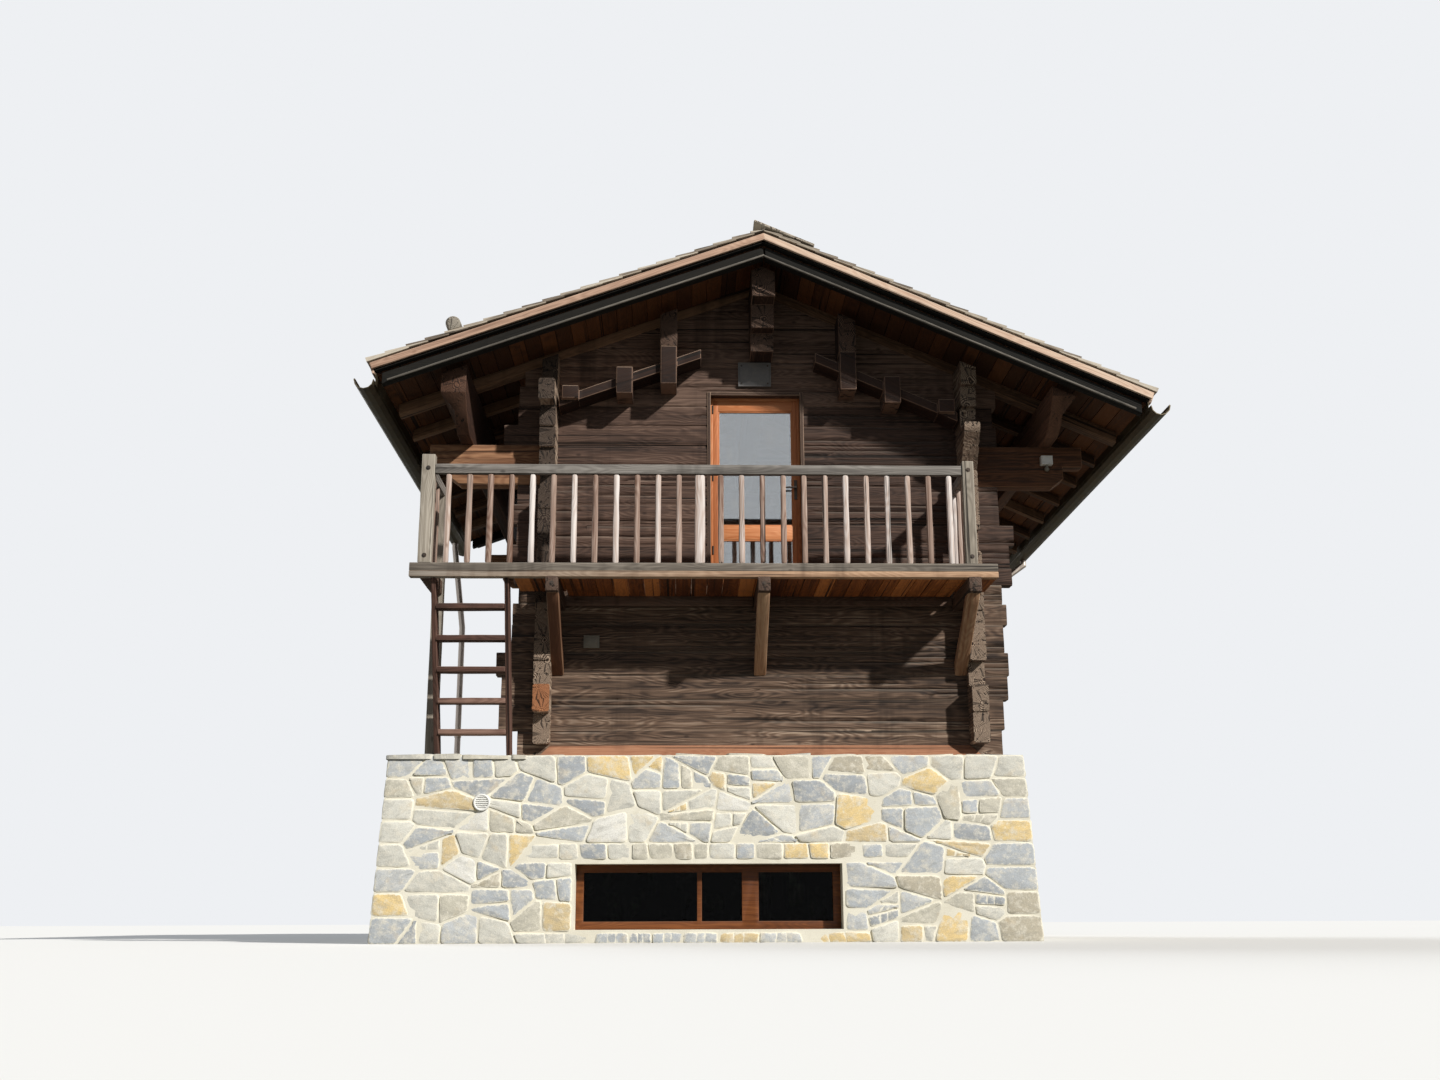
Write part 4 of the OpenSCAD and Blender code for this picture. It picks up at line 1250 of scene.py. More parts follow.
@dataclass
class Basement:
    """Rubble-stone walls in pale mortar, with flagstones on top and a long low window."""

    batter: float = 0.1
    corner_reach: float = 0.17
    corner_heights: tuple[float, ...] = (0.13, 0.36, 0.57, 0.82, 1.02, 1.25, 1.44, 1.63)
    lintel_gap: float = 0.035
    lintel_ends: Point = (0.16, 0.2)
    row_height: float = 0.165
    lip: float = 0.03
    clearance: float = 0.012

    def build(self) -> None:
        """Builds the four faces, the flagstones and the mortar behind them."""
        self.faces()
        self.flagstones()
        dress_nodes(MORTAR, "front_stone_wall", "back_stone_wall", "left_stone_wall", "right_stone_wall",
                    "stone_coping")
        dress_nodes(CONCRETE, "basement_floor", "ground_floor")

    def corner_sites(self, s: float, seed: int) -> list[Site]:
        """The stones that turn a corner, the same on both its faces."""
        draw = random.Random(seed)
        return [Site(s, t, self.corner_reach, draw.random(), True) for t in self.corner_heights]

    def faces(self) -> None:
        """Lays the stones of the four walls."""
        low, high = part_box("front_stone_wall")
        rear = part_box("back_stone_wall")[1].y
        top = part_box("stone_coping")[1].z - 0.004
        window_low, window_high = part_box("basement_window_frame")
        left, right = low.x + self.batter, high.x - self.batter
        slant = math.atan2(self.batter, top)
        wall_top = top / math.cos(slant)
        depth = rear - low.y
        wide = [(low.x, 0.0), (high.x, 0.0), (right, top), (left, top)]
        back = [(-high.x, 0.0), (-low.x, 0.0), (-left, top), (-right, top)]
        deep = [(0.0, 0.003), (depth, 0.003), (depth, wall_top), (0.0, wall_top)]
        lean = math.sin(slant), math.cos(slant)
        opening = (window_low.x, window_low.z, window_high.x, window_high.z)
        lintel_foot = window_high.z + self.lintel_gap
        lintel = (window_low.x - self.lintel_ends[0], lintel_foot,
                  window_high.x + self.lintel_ends[1], lintel_foot + self.row_height)
        for name, origin, along, up, outline, ends in (
                ("front", (0, low.y, 0), (1, 0, 0), (0, 0, 1), wide, (left, 1, right, 2)),
                ("back", (0, rear, 0), (-1, 0, 0), (0, 0, 1), back, (-right, 3, -left, 4)),
                ("right", (high.x, low.y, 0), (0, 1, 0), (-lean[0], 0, lean[1]), deep, (0, 2, depth, 3)),
                ("left", (low.x, rear, 0), (0, -1, 0), (lean[0], 0, lean[1]), deep, (0, 4, depth, 1))):
            corners = (self.corner_sites(ends[0] + self.corner_reach * 0.6, ends[1])
                       + self.corner_sites(ends[2] - self.corner_reach * 0.6, ends[3]))
            front = name == "front"
            Masonry(name + "_stones", self.stand(origin, along, up), outline, 10 + ends[1], STONE,
                    [opening] if front else [], [lintel] if front else [], corners).build()

    def stand(self, origin: Sequence[float], along: Sequence[float], up: Sequence[float]) -> Matrix:
        """Where a flat face goes: its origin, its direction and its rise."""
        out = Vector(along).cross(Vector(up))
        turn = Matrix((Vector(along), Vector(up), out)).transposed().to_4x4()
        return Matrix.Translation(Vector(origin)) @ turn

    def flagstones(self) -> None:
        """Lays the flagstones of the terrace and the ledges."""
        low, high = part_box("stone_coping")
        place = self.stand((0, 0, high.z), (1, 0, 0), (0, 1, 0))
        lip, clearance = self.lip, self.clearance
        half, deep = LOG_FACES
        for seed, (name, (x0, y0, x1, y1)) in enumerate({
                "terrace_flags": (low.x - lip, low.y - lip, -half - clearance, high.y + lip),
                "front_flags": (-half, low.y + lip, high.x - lip, -deep - clearance),
                "back_flags": (-half, deep + clearance, high.x - lip, high.y - lip),
                "side_flags": (half + clearance, -deep, high.x - lip, deep)}.items()):
            Masonry(name, place, [(x0, y0), (x1, y0), (x1, y1), (x0, y1)], 31 + seed, FLAGS,
                    patch_range=(0.13, 0.3), flatten=1.0, stone_range=(9.0, 10.0), proud=0.007,
                    bed=0.018 if seed else 0.036, relief=0.006, gap=0.014).build()


# Log walls


# Front ends of the left wall's logs: from which height to which, and 2 for darkened or 3 for renewed; the
# darkened ends are partly weathered end grain and partly painted shade
LEFT_ENDS = ((2.19, 2.49, 3), (3.3, 6.0, 2))


@dataclass
class LogWall:
    """A wall of hewn logs, modelled on the frame's own notched courses.

    Its logs lie along an axis, 0 or 1, and its outer face looks to the side -1 or 1 of the other.
    """

    node: str
    axis: int
    side: int
    finish: Finish
    seed: int
    ends: tuple[tuple[float, float, int], ...] = ()
    step: float = 0.11
    rise: float = 0.055
    wave: float = 0.012
    cracks: int = 60
    crack_half: float = 0.0026
    crack_depth: float = 0.014

    def build(self) -> None:
        """Models the wall."""
        obj = copy_of_node("hewn_" + self.node, self.node)
        slice_up(obj, self.axis, self.step)
        slice_up(obj, 2, self.rise)
        self.split(obj)
        roughen(obj, 0.7, 0.016, "Z")
        along = tuple(float(k == self.axis) for k in range(3))
        complete_timber(obj, self.finish, self.seed, (self.node,), along, ((0.42, self.wave), (0.06, 0.005)))
        self.mark_ends(obj.data)

    def mark_ends(self, mesh: Mesh) -> None:
        """Marks the front ends that lie between the given heights."""
        marks = read(mesh.attributes["marks"].data, "vector", 3)
        _, y, z = read(mesh.polygons, "center", 3).T
        for low, high, mark in self.ends:
            marks[(marks[:, 2] > 0) & (z > low) & (z < high) & (y < 0), 2] = mark
        store(mesh, "marks", "FACE", marks)

    def split(self, obj: Object) -> None:
        """Opens drying cracks along the outer face, as narrow grooves."""
        draw = random.Random(self.seed)
        axis, across = self.axis, 1 - self.axis
        face = self.side * LOG_FACES[across]
        places = vertex_places(obj.data)
        on_face = places[np.abs(places[:, across] - face) < 0.0005]
        if not len(on_face):
            return
        rows = sorted(set(np.round(on_face[:, 2], 4)))
        low, high = on_face[:, axis].min(), on_face[:, axis].max()
        runs = []
        for _ in range(self.cracks):
            row, start = draw.choice(rows), draw.uniform(low, high - 0.5)
            runs.append((row, start, start + draw.uniform(0.5, 2.6)))

        def in_run(point: Vector, margin: float) -> bool:
            """Whether a point is on one of the cracks, short of its ends."""
            return abs(point[across] - face) < 0.0005 and any(
                abs(point.z - row) < 0.0002 and start + margin < point[axis] < end - margin
                for row, start, end in runs)

        with editing(obj):
            if pick(obj, Pick.EDGES, lambda edge: abs(
                    edge.verts[0].co[axis] - edge.verts[1].co[axis]) > 0.01 and all(
                    in_run(vert.co, 0) for vert in edge.verts)):
                bpy.ops.mesh.bevel(offset=self.crack_half, segments=2, affect="EDGES")
                pick(obj, Pick.VERTS, lambda vert: in_run(vert.co, 0.02))
                inward = [-self.crack_depth * self.side * (k == across) for k in range(3)]
                bpy.ops.transform.translate(value=inward)


def build_logs() -> None:
    """Builds the log walls and gables."""
    for seed, (node, axis, side, finish) in enumerate((
            ("front_wall", 0, -1, LOGS), ("front_door_walls", 0, -1, GABLE_LOGS),
            ("front_gable", 0, -1, GABLE_LOGS), ("back_wall", 0, 1, LOGS), ("back_gable", 0, 1, LOGS),
            ("left_wall", 1, -1, LOGS), ("right_wall", 1, 1, LOGS))):
        LogWall(node, axis, side, finish, 51 + seed, LEFT_ENDS if node == "left_wall" else ()).build()


# Timber frame


@dataclass
class Beams:
    """Sawn or hewn timbers at the places of a node's solids, or of a band of their height."""

    name: str
    node: str
    finish: Finish
    seed: int
    arris: float = 0.006
    cuts: int = 10
    wave: float = 0.006
    band: Point = (0.0, 1.0)
    thicker: float = 0.0

    def build(self) -> None:
        """Models all the timbers as one piece."""
        boxes = node_boxes(self.node)
        with editing(new_piece(self.name)) as obj:
            for low, high in boxes:
                foot, top = (low.z + (high.z - low.z) * share for share in self.band)
                add_block((low.x, low.y, foot - self.thicker), (high.x, high.y, top))
        ease(obj, self.arris, 2, self.cuts, 0.28)
        complete_timber(obj, self.finish, self.seed, () if self.band[0] else (self.node,),
                        wear=((0.35, self.wave), (0.05, 0.003)))


@dataclass
class ShapedTimbers:
    """Timbers that are cut to a shape, modelled on the frame's own solids.

    Where keep is set, only the faces whose middles pass it are taken. Where stands_for is off, the
    node isn't replaced by this piece.
    """

    name: str
    node: str
    finish: Finish
    seed: int
    arris: float = 0.008
    cut_axis: int = 1
    step: float = 0.12
    wave: float = 0.008
    grit: float = 0.004
    along: tuple[float, float, float] | None = None
    keep: Callable[[Vector], bool] | None = None
    stands_for: bool = True

    def build(self) -> None:
        """Models all the timbers as one piece."""
        with editing(copy_of_node(self.name, self.node)) as obj:
            if self.keep and pick(obj, Pick.FACES, lambda face: not self.keep(face.calc_center_median())):
                bpy.ops.mesh.delete(type="FACE")
            pick(obj, Pick.EDGES, lambda edge: len(edge.link_faces) == 2
                 and edge.calc_face_angle(0) > math.radians(25))
            bpy.ops.mesh.bevel(offset=self.arris, segments=2, affect="EDGES")
        slice_up(obj, self.cut_axis, self.step)
        complete_timber(obj, self.finish, self.seed, (self.node,) if self.stands_for else (), self.along,
                        ((0.35, self.wave), (0.05, self.grit)))


@dataclass(frozen=True)
class Slope:
    """One slope of the roof, seen from the front as a line from its eave to the ridge."""

    side: Side
    eave: Vector
    ridge: Vector

    @property
    def up(self) -> Vector:
        """Direction up the slope."""
        return (self.ridge - self.eave).normalized()

    @property
    def out(self) -> Vector:
        """Direction square to the slope, out of the roof."""
        up = self.up
        return Vector((-up.z, 0, up.x)) if self.side is Side.LEFT else Vector((up.z, 0, -up.x))

    @property
    def run(self) -> float:
        """Length from the eave to the ridge."""
        return (self.ridge - self.eave).length

    def add_block(self, run: Point, depth: Point, y: Point) -> None:
        """Adds a block that lies in the slope to the piece in edit mode.

        Args:
            run: Where it starts and ends, from the eave up.
            depth: Its upper and lower sides, below the roof's surface.
            y: Its front and rear ends.
        """
        up, out = self.up, self.out
        middle = self.eave + up * sum(run) / 2 - out * sum(depth) / 2
        middle.y = sum(y) / 2
        size = (run[1] - run[0], y[1] - y[0], depth[1] - depth[0])
        turn = (0, -math.atan2(up.z, up.x), 0)
        bpy.ops.mesh.primitive_cube_add(size=1, location=middle, rotation=turn, scale=size)


def roof_slopes() -> list[Slope]:
    """Both slopes, read from the frame's shingles."""
    places = vertex_places(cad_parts["shingles"].data)
    top = places[np.argmax(places[:, 2])]
    slopes = []
    for side in Side:
        edge = places[:, 0].min() if side is Side.LEFT else places[:, 0].max()
        height = places[np.abs(places[:, 0] - edge) < 0.001][:, 2].max()
        slopes.append(Slope(side, Vector((edge, 0, height)), Vector((top[0], 0, top[2]))))
    return slopes


@dataclass
class Boarding:
    """Boards laid side by side in the roof's slopes, or flat as the balcony's floor.

    Depths are measured under the roof's surface.
    """

    width: float = 0.165
    gap: float = 0.005
    start: float = 0.045
    spare: float = 0.05
    inset: float = 0.07
    joint_reach: float = 1.6
    joint_half: float = 0.002
    board_depth: Point = (0.152, 0.179)
    batten_depth: Point = (0.05, 0.15)
    deck_width: float = 0.148
    deck_gap: float = 0.007
    notches: tuple[Point, ...] = ((-2.28, -2.09), (2.09, 2.6))
    notch_depth: float = 0.27
    cap_rows: tuple[Point, ...] = ((0.0, 0.235), (0.225, 0.46), (0.45, 0.668))
    cap_depth: Point = (-0.027, -0.002)
    cap_length: float = 1.75
    wear: tuple[Point, ...] = ((0.3, 0.004),)

    def build(self) -> None:
        """Lays the roof's underside, the balcony's floor and the ridge boards."""
        self.underside()
        self.deck()
        self.ridge_boards()

    def underside(self) -> None:
        """Boards on the rafters, and the battened layer over them."""
        low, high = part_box("roof_boards")
        draw = random.Random(300)
        with editing(new_piece("underside_boards")) as boards:
            for slope in roof_slopes():
                count = int((slope.run - self.spare) / self.width)
                step = (slope.run - self.spare) / count
                for k in range(count):
                    joint = draw.uniform(-self.joint_reach, self.joint_reach)
                    run = (self.start + k * step, self.start + (k + 1) * step - self.gap)
                    for y in ((low.y + self.inset, joint - self.joint_half),
                              (joint + self.joint_half, high.y - self.inset)):
                        slope.add_block(run, self.board_depth, y)
        ease(boards, cuts=6)
        complete_timber(boards, ROOF_WOOD, 90, ("roof_boards",), BACKWARDS, self.wear)
        # The layer over the rafters is near-black: painted shade.
        with editing(new_piece("roof_battens")) as layer:
            for slope in roof_slopes():
                slope.add_block((0.05, slope.run - 0.012), self.batten_depth, (low.y + 0.004, high.y - 0.004))
        mark_timber(layer, 95, BACKWARDS)
        complete(layer, PAINTED_SHADE_WOOD)

    def deck(self) -> None:
        """Floor boards from the house to the beam, with light between them."""
        low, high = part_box("balcony_planks")
        count = round((high.x - low.x) / (self.deck_width + self.deck_gap))
        step = (high.x - low.x) / count
        with editing(new_piece("deck_boards")) as obj:
            for k in range(count):
                left, right = low.x + k * step, low.x + (k + 1) * step - self.deck_gap
                notched = any(left < end and right > start for start, end in self.notches)
                back = high.y - (self.notch_depth if notched else 0.0)
                add_block((left, low.y, low.z), (right, back, high.z))
        ease(obj, cuts=6)
        complete_timber(obj, UNDER_WOOD, 94, ("balcony_planks",), BACKWARDS, self.wear)

    def ridge_boards(self) -> None:
        """Overlapping lengths of board on the right slope, the last one past the ridge."""
        low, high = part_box("ridge_cap")
        slope = roof_slopes()[1]
        top = slope.run + (slope.ridge.x - low.x) / abs(slope.up.x)
        count = round((high.y - low.y) / self.cap_length)
        step = (high.y - low.y) / count
        with editing(new_piece("ridge_cap_boards")) as obj:
            for start, end in self.cap_rows:
                for k in range(count):
                    depth = tuple(level + 0.001 * (k % 2) for level in self.cap_depth)
                    slope.add_block((top - end, top - start), depth,
                                    (low.y + k * step, low.y + (k + 1) * step - 0.004))
        ease(obj, 0.004, cuts=6)
        complete_timber(obj, SHINGLE_WOOD, 92, ("ridge_cap",), BACKWARDS, self.wear)


@dataclass
class Verge:
    """Tan boards along the gables, the thin trim below them and the boards behind the gutters.

    Depths are measured under the roof's surface.
    """

    board: Point = (0.064, 0.13)
    board_start: float = 0.024
    thick: float = 0.03
    trim: Point = (0.272, 0.29)
    trim_start: float = 0.13
    trim_thick: float = 0.022
    fascia: Point = (0.052, 0.172)
    fascia_run: Point = (0.012, 0.038)
    wear: tuple[Point, ...] = ((0.4, 0.005),)

    def build(self) -> None:
        """Models the boards of both slopes, cut at the ridge where they meet."""
        low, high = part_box("verge_boards")
        fascias = new_piece("eave_fascias")
        for slope in roof_slopes():
            left = slope.side is Side.LEFT
            for name, finish, seed, start, depth, inset, thick, nodes in (
                    ("boards", VERGE_WOOD, 110, self.board_start, self.board, 0.0, self.thick,
                     ("verge_boards",) if left else ()),
                    ("trim", TRIM_WOOD, 120, self.trim_start, self.trim, self.thick, self.trim_thick, ())):
                with editing(new_piece(f"{slope.side.name.lower()}_verge_{name}")) as obj:
                    for y in (low.y + inset, high.y - inset - thick):
                        slope.add_block((start, slope.run + 0.2), depth, (y, y + thick))
                    select_all()
                    bpy.ops.mesh.bisect(plane_co=slope.ridge, plane_no=(1, 0, 0), use_fill=True,
                                        clear_outer=left, clear_inner=not left)
                ease(obj, cuts=24)
                complete_timber(obj, finish, seed + (not left), nodes, tuple(slope.up), self.wear)
            with editing(fascias):
                slope.add_block(self.fascia_run, self.fascia,
                                (low.y + self.thick + 0.003, high.y - self.thick - 0.003))
        ease(fascias, cuts=24)
        complete_timber(fascias, VERGE_WOOD, 130, (), BACKWARDS, self.wear)


def build_timber_frame() -> None:
    """Builds the balcony, the stair and the roof's carpentry."""
    for timbers in (
            Beams("balcony_edge_board", "balcony_beam", EDGE_WOOD, 70, 0.005, 28, band=(0.0, 0.42)),
            Beams("balcony_beam_timber", "balcony_beam", BEAM_WOOD, 71, 0.007, 28, band=(0.43, 1.0)),
            Beams("balcony_joist_timbers", "balcony_joists", JOIST_WOOD, 72),
            Beams("balcony_post_timbers", "balcony_posts", POST_WOOD, 73),
            Beams("balcony_rail_timbers", "balcony_rails", RAIL_WOOD, 74, cuts=24),
            Beams("rail_bars", "balusters", RAIL_BARS, 75, 0.021, 7, 0.012),
            Beams("stair_tread_boards", "stair_treads", STAIR_WOOD, 76, 0.005, 5, thicker=0.01),
            ShapedTimbers("knee_braces", "balcony_braces", BRACE_WOOD, 81, cut_axis=2),
            ShapedTimbers("stair_string_boards", "stair_stringers", STAIR_WOOD, 82, 0.004, 2),
            ShapedTimbers("foot_boards", "sill_skirt", SKIRT_WOOD, 83, 0.004, 0),
            ShapedTimbers("ridge_logs", "ridge_purlin", BRACKET_WOOD, 84, along=BACKWARDS),
            ShapedTimbers("mid_purlin_logs", "mid_purlins", BRACKET_WOOD, 85, along=BACKWARDS),
            ShapedTimbers("eave_purlin_logs", "eave_purlins", PURLIN_WOOD, 86, along=BACKWARDS),
            ShapedTimbers("eave_arm_logs", "eave_arms", ARM_WOOD, 87, cut_axis=0, along=(1, 0, 0)),
            ShapedTimbers("bracket_logs", "gable_brackets", BRACKET_WOOD, 88, cut_axis=0),
            ShapedTimbers("rafter_timbers", "rafters", RAFTER_WOOD, 89, cut_axis=0,
                          keep=lambda middle: abs(middle.y) < 2.8),
            # The rafters at the gables are near-black: painted shade in the recess behind the verge boards.
            ShapedTimbers("verge_rafters", "rafters", PAINTED_SHADE_WOOD, 96, cut_axis=0,
                          keep=lambda middle: abs(middle.y) > 2.8, stands_for=False),
            ShapedTimbers("snow_log", "snow_guard", OLD_WOOD, 93, along=BACKWARDS),
            Boarding(), Verge()):
        timbers.build()


# Roof covering


@dataclass
class Shingles:
    """Split shingles in stepped courses on both slopes."""

    exposure: float = 0.205
    width: float = 0.15
    butt: float = 0.026
    head: float = 0.008
    length: float = 0.44
    bed: float = 0.046
    jitter: float = 0.32
    slip: float = 0.008
    slit: float = 0.0015
    lift: float = 0.003

    def build(self) -> None:
        """Lays both slopes."""
        for slope in roof_slopes():
            self.lay(slope)

    def lay(self, slope: Slope) -> None:
        """Lays the courses of one slope, from the eave up."""
        y0, y1 = (end.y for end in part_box("shingles"))
        y0, y1 = y0 + 0.004, y1 - 0.004
        side, up, run = slope.side, slope.up, slope.run
        draw = np.random.default_rng(200 + side.value)
        rows = int(run / self.exposure) + 1
        columns = int((y1 - y0) / self.width)
        with editing(new_piece(f"{side.name.lower()}_shingles")) as obj:
            for row in range(rows):
                bpy.ops.mesh.primitive_grid_add(
                    x_subdivisions=columns, y_subdivisions=1, size=1, location=(0, row, 0))
            select_all()
            bpy.ops.mesh.edge_split()
            select_all()
            bpy.ops.mesh.extrude_region_move(TRANSFORM_OT_translate={"value": (0, 0, 0.02)})
            face_out()
        places, parts = vertex_places(obj.data), loose_parts(obj.data)
        count = parts.max() + 1
        middle = part_middles(places, parts)
        row = np.rint(middle[:, 1]).astype(int)
        column = np.rint((middle[:, 0] + 0.5) * columns - 0.5).astype(int)
        jitter = draw.uniform(-self.jitter, self.jitter, (rows, columns + 1))
        jitter += (np.arange(rows) % 2)[:, None] * 0.5
        edges = (np.arange(columns + 1)[None] + jitter) / columns * (y1 - y0) + y0
        edges[:, 0], edges[:, -1] = y0, y1
        right = places[:, 0] > middle[parts, 0]
        upper = places[:, 1] > middle[parts, 1]
        thick = places[:, 2] > 0.01
        inner = (0 < column[parts]) & (column[parts] < columns - 1)
        at = edges[row[parts], column[parts] + right] + np.where(right, -self.slit, self.slit) * inner
        slip = draw.uniform(-self.slip, self.slip, count)
        start = row[parts] * self.exposure + slip[parts] * (row[parts] > 0)
        along = np.minimum(start + np.where(upper, self.length, 0), run - 0.01)
        lift = draw.uniform(-self.lift, 0.0, count)[parts]
        height = np.where(upper, np.where(thick, self.head - self.bed, -self.bed),
                          np.where(thick, lift, -self.butt - 0.001))
        height = np.where((row[parts] == 0) & ~thick, -self.bed - 0.001, height)
        moved = (np.array(slope.eave) + along[:, None] * np.array(up)
                 + height[:, None] * np.array(slope.out))
        moved[:, 1] = at
        move_vertices(obj.data, moved)
        with editing(obj):
            face_out()
            pick(obj, Pick.EDGES, lambda edge: abs(
                (edge.verts[1].co - edge.verts[0].co).normalized().dot(up)) > 0.9)
            bpy.ops.mesh.subdivide(number_cuts=2)
        complete_timber(obj, SHINGLE_WOOD, 210 + side.value, ("shingles",) if side is Side.LEFT else (),
                        tuple(up), ((0.05, 0.004),), 30)


# Small things


@dataclass
class BalconyDoor:
    """The door's frame and leaf, with beads round the glass, hinges and a handle."""

    trim_width: float = 0.034
    bead: float = 0.014
    handle_height: float = 1.02
    hinge_heights: tuple[float, ...] = (0.3, 1.1, 1.85)

    def build(self) -> None:
        """Models the door in its opening."""
        self.frame()
        self.leaf()
        self.ironwork()

    def joinery(self, name: str, blocks: Sequence[tuple[Sequence[float], Sequence[float]]],
                finish: Finish, seed: int, nodes: Sequence[str]) -> None:
        """One piece of joinery made of planed lengths.

        Args:
            name: Its name.
            blocks: Low and high corner of each length.
            finish: Its wood.
            seed: Seed of its grain.
            nodes: Frame nodes that it stands for.
        """
        with editing(new_piece(name)) as obj:
            for low, high in blocks:
                add_block(low, high)
        ease(obj, 0.003, 2)
        complete_timber(obj, finish, seed, nodes)

    def frame(self) -> None:
        """A thin edge round the opening, and the frame set back inside it."""
        low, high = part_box("door_casing")
        leaf_low, leaf_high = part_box("door_leaf")
        left, right, head = low.x + self.trim_width, high.x - self.trim_width, high.z - self.trim_width
        front = leaf_low.y - 0.004
        self.joinery("door_edge", [
            (low, (left, high.y, high.z)), ((right, low.y, low.z), high),
            ((left, low.y, head), (right, high.y, high.z))], DOOR_TRIM, 101, ("door_casing",))
        self.joinery("door_frame", [
            ((left, front, leaf_low.z), (leaf_low.x, high.y, head)),
            ((leaf_high.x, front, leaf_low.z), (right, high.y, head)),
            ((leaf_low.x, front, leaf_high.z), (leaf_high.x, high.y, head)),
            ((left, low.y, low.z), (right, high.y, leaf_low.z))], DOOR_WOOD, 102, ())

    def leaf(self) -> None:
        """Stiles, rails and the beads that hold the glass."""
        low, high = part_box("door_leaf")
        panes = sorted(node_boxes("door_glass"), key=lambda box: box[0].z)
        left, right = panes[0][0].x, panes[0][1].x
        levels = [low.z, *(corner.z for pane in panes for corner in pane), high.z]
        blocks = [(low, (left, high.y, high.z)), ((right, low.y, low.z), high)]
        blocks += [((left, low.y, a), (right, high.y, b)) for a, b in zip(levels[::2], levels[1::2])]
        self.joinery("door_leaf_wood", blocks, DOOR_WOOD, 103, ("door_leaf",))
        with editing(new_piece("glazing_beads")) as beads:
            for pane_low, pane_high in panes:
                front = Vector((pane_low.x, pane_low.y - self.bead, pane_low.z))
                add_frame(front, Vector((pane_high.x, pane_low.y, pane_high.z)), self.bead)
        ease(beads, 0.003, 2)
        complete_timber(beads, DOOR_WOOD, 104)

    def ironwork(self) -> None:
        """Three hinges on the left, a handle on the right."""
        low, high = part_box("door_leaf")
        x, y, z = high.x - 0.028, low.y, low.z + self.handle_height
        with editing(new_piece("door_ironwork")) as obj:
            for height in self.hinge_heights:
                start = Vector((low.x, low.y - 0.006, low.z + height))
                add_rod(start, start + Vector((0, 0, 0.09)), 0.008, 16)
            add_block((x - 0.016, y - 0.008, z - 0.12), (x + 0.016, y, z + 0.09))
            add_rod((x, y - 0.006, z), (x, y - 0.05, z), 0.009, 16)
            add_rod((x + 0.006, y - 0.046, z), (x - 0.12, y - 0.046, z), 0.009, 16)
            add_rod((x, y - 0.004, z - 0.07), (x, y - 0.012, z - 0.07), 0.009, 16)
        smooth(obj)
        complete(obj, IRON)


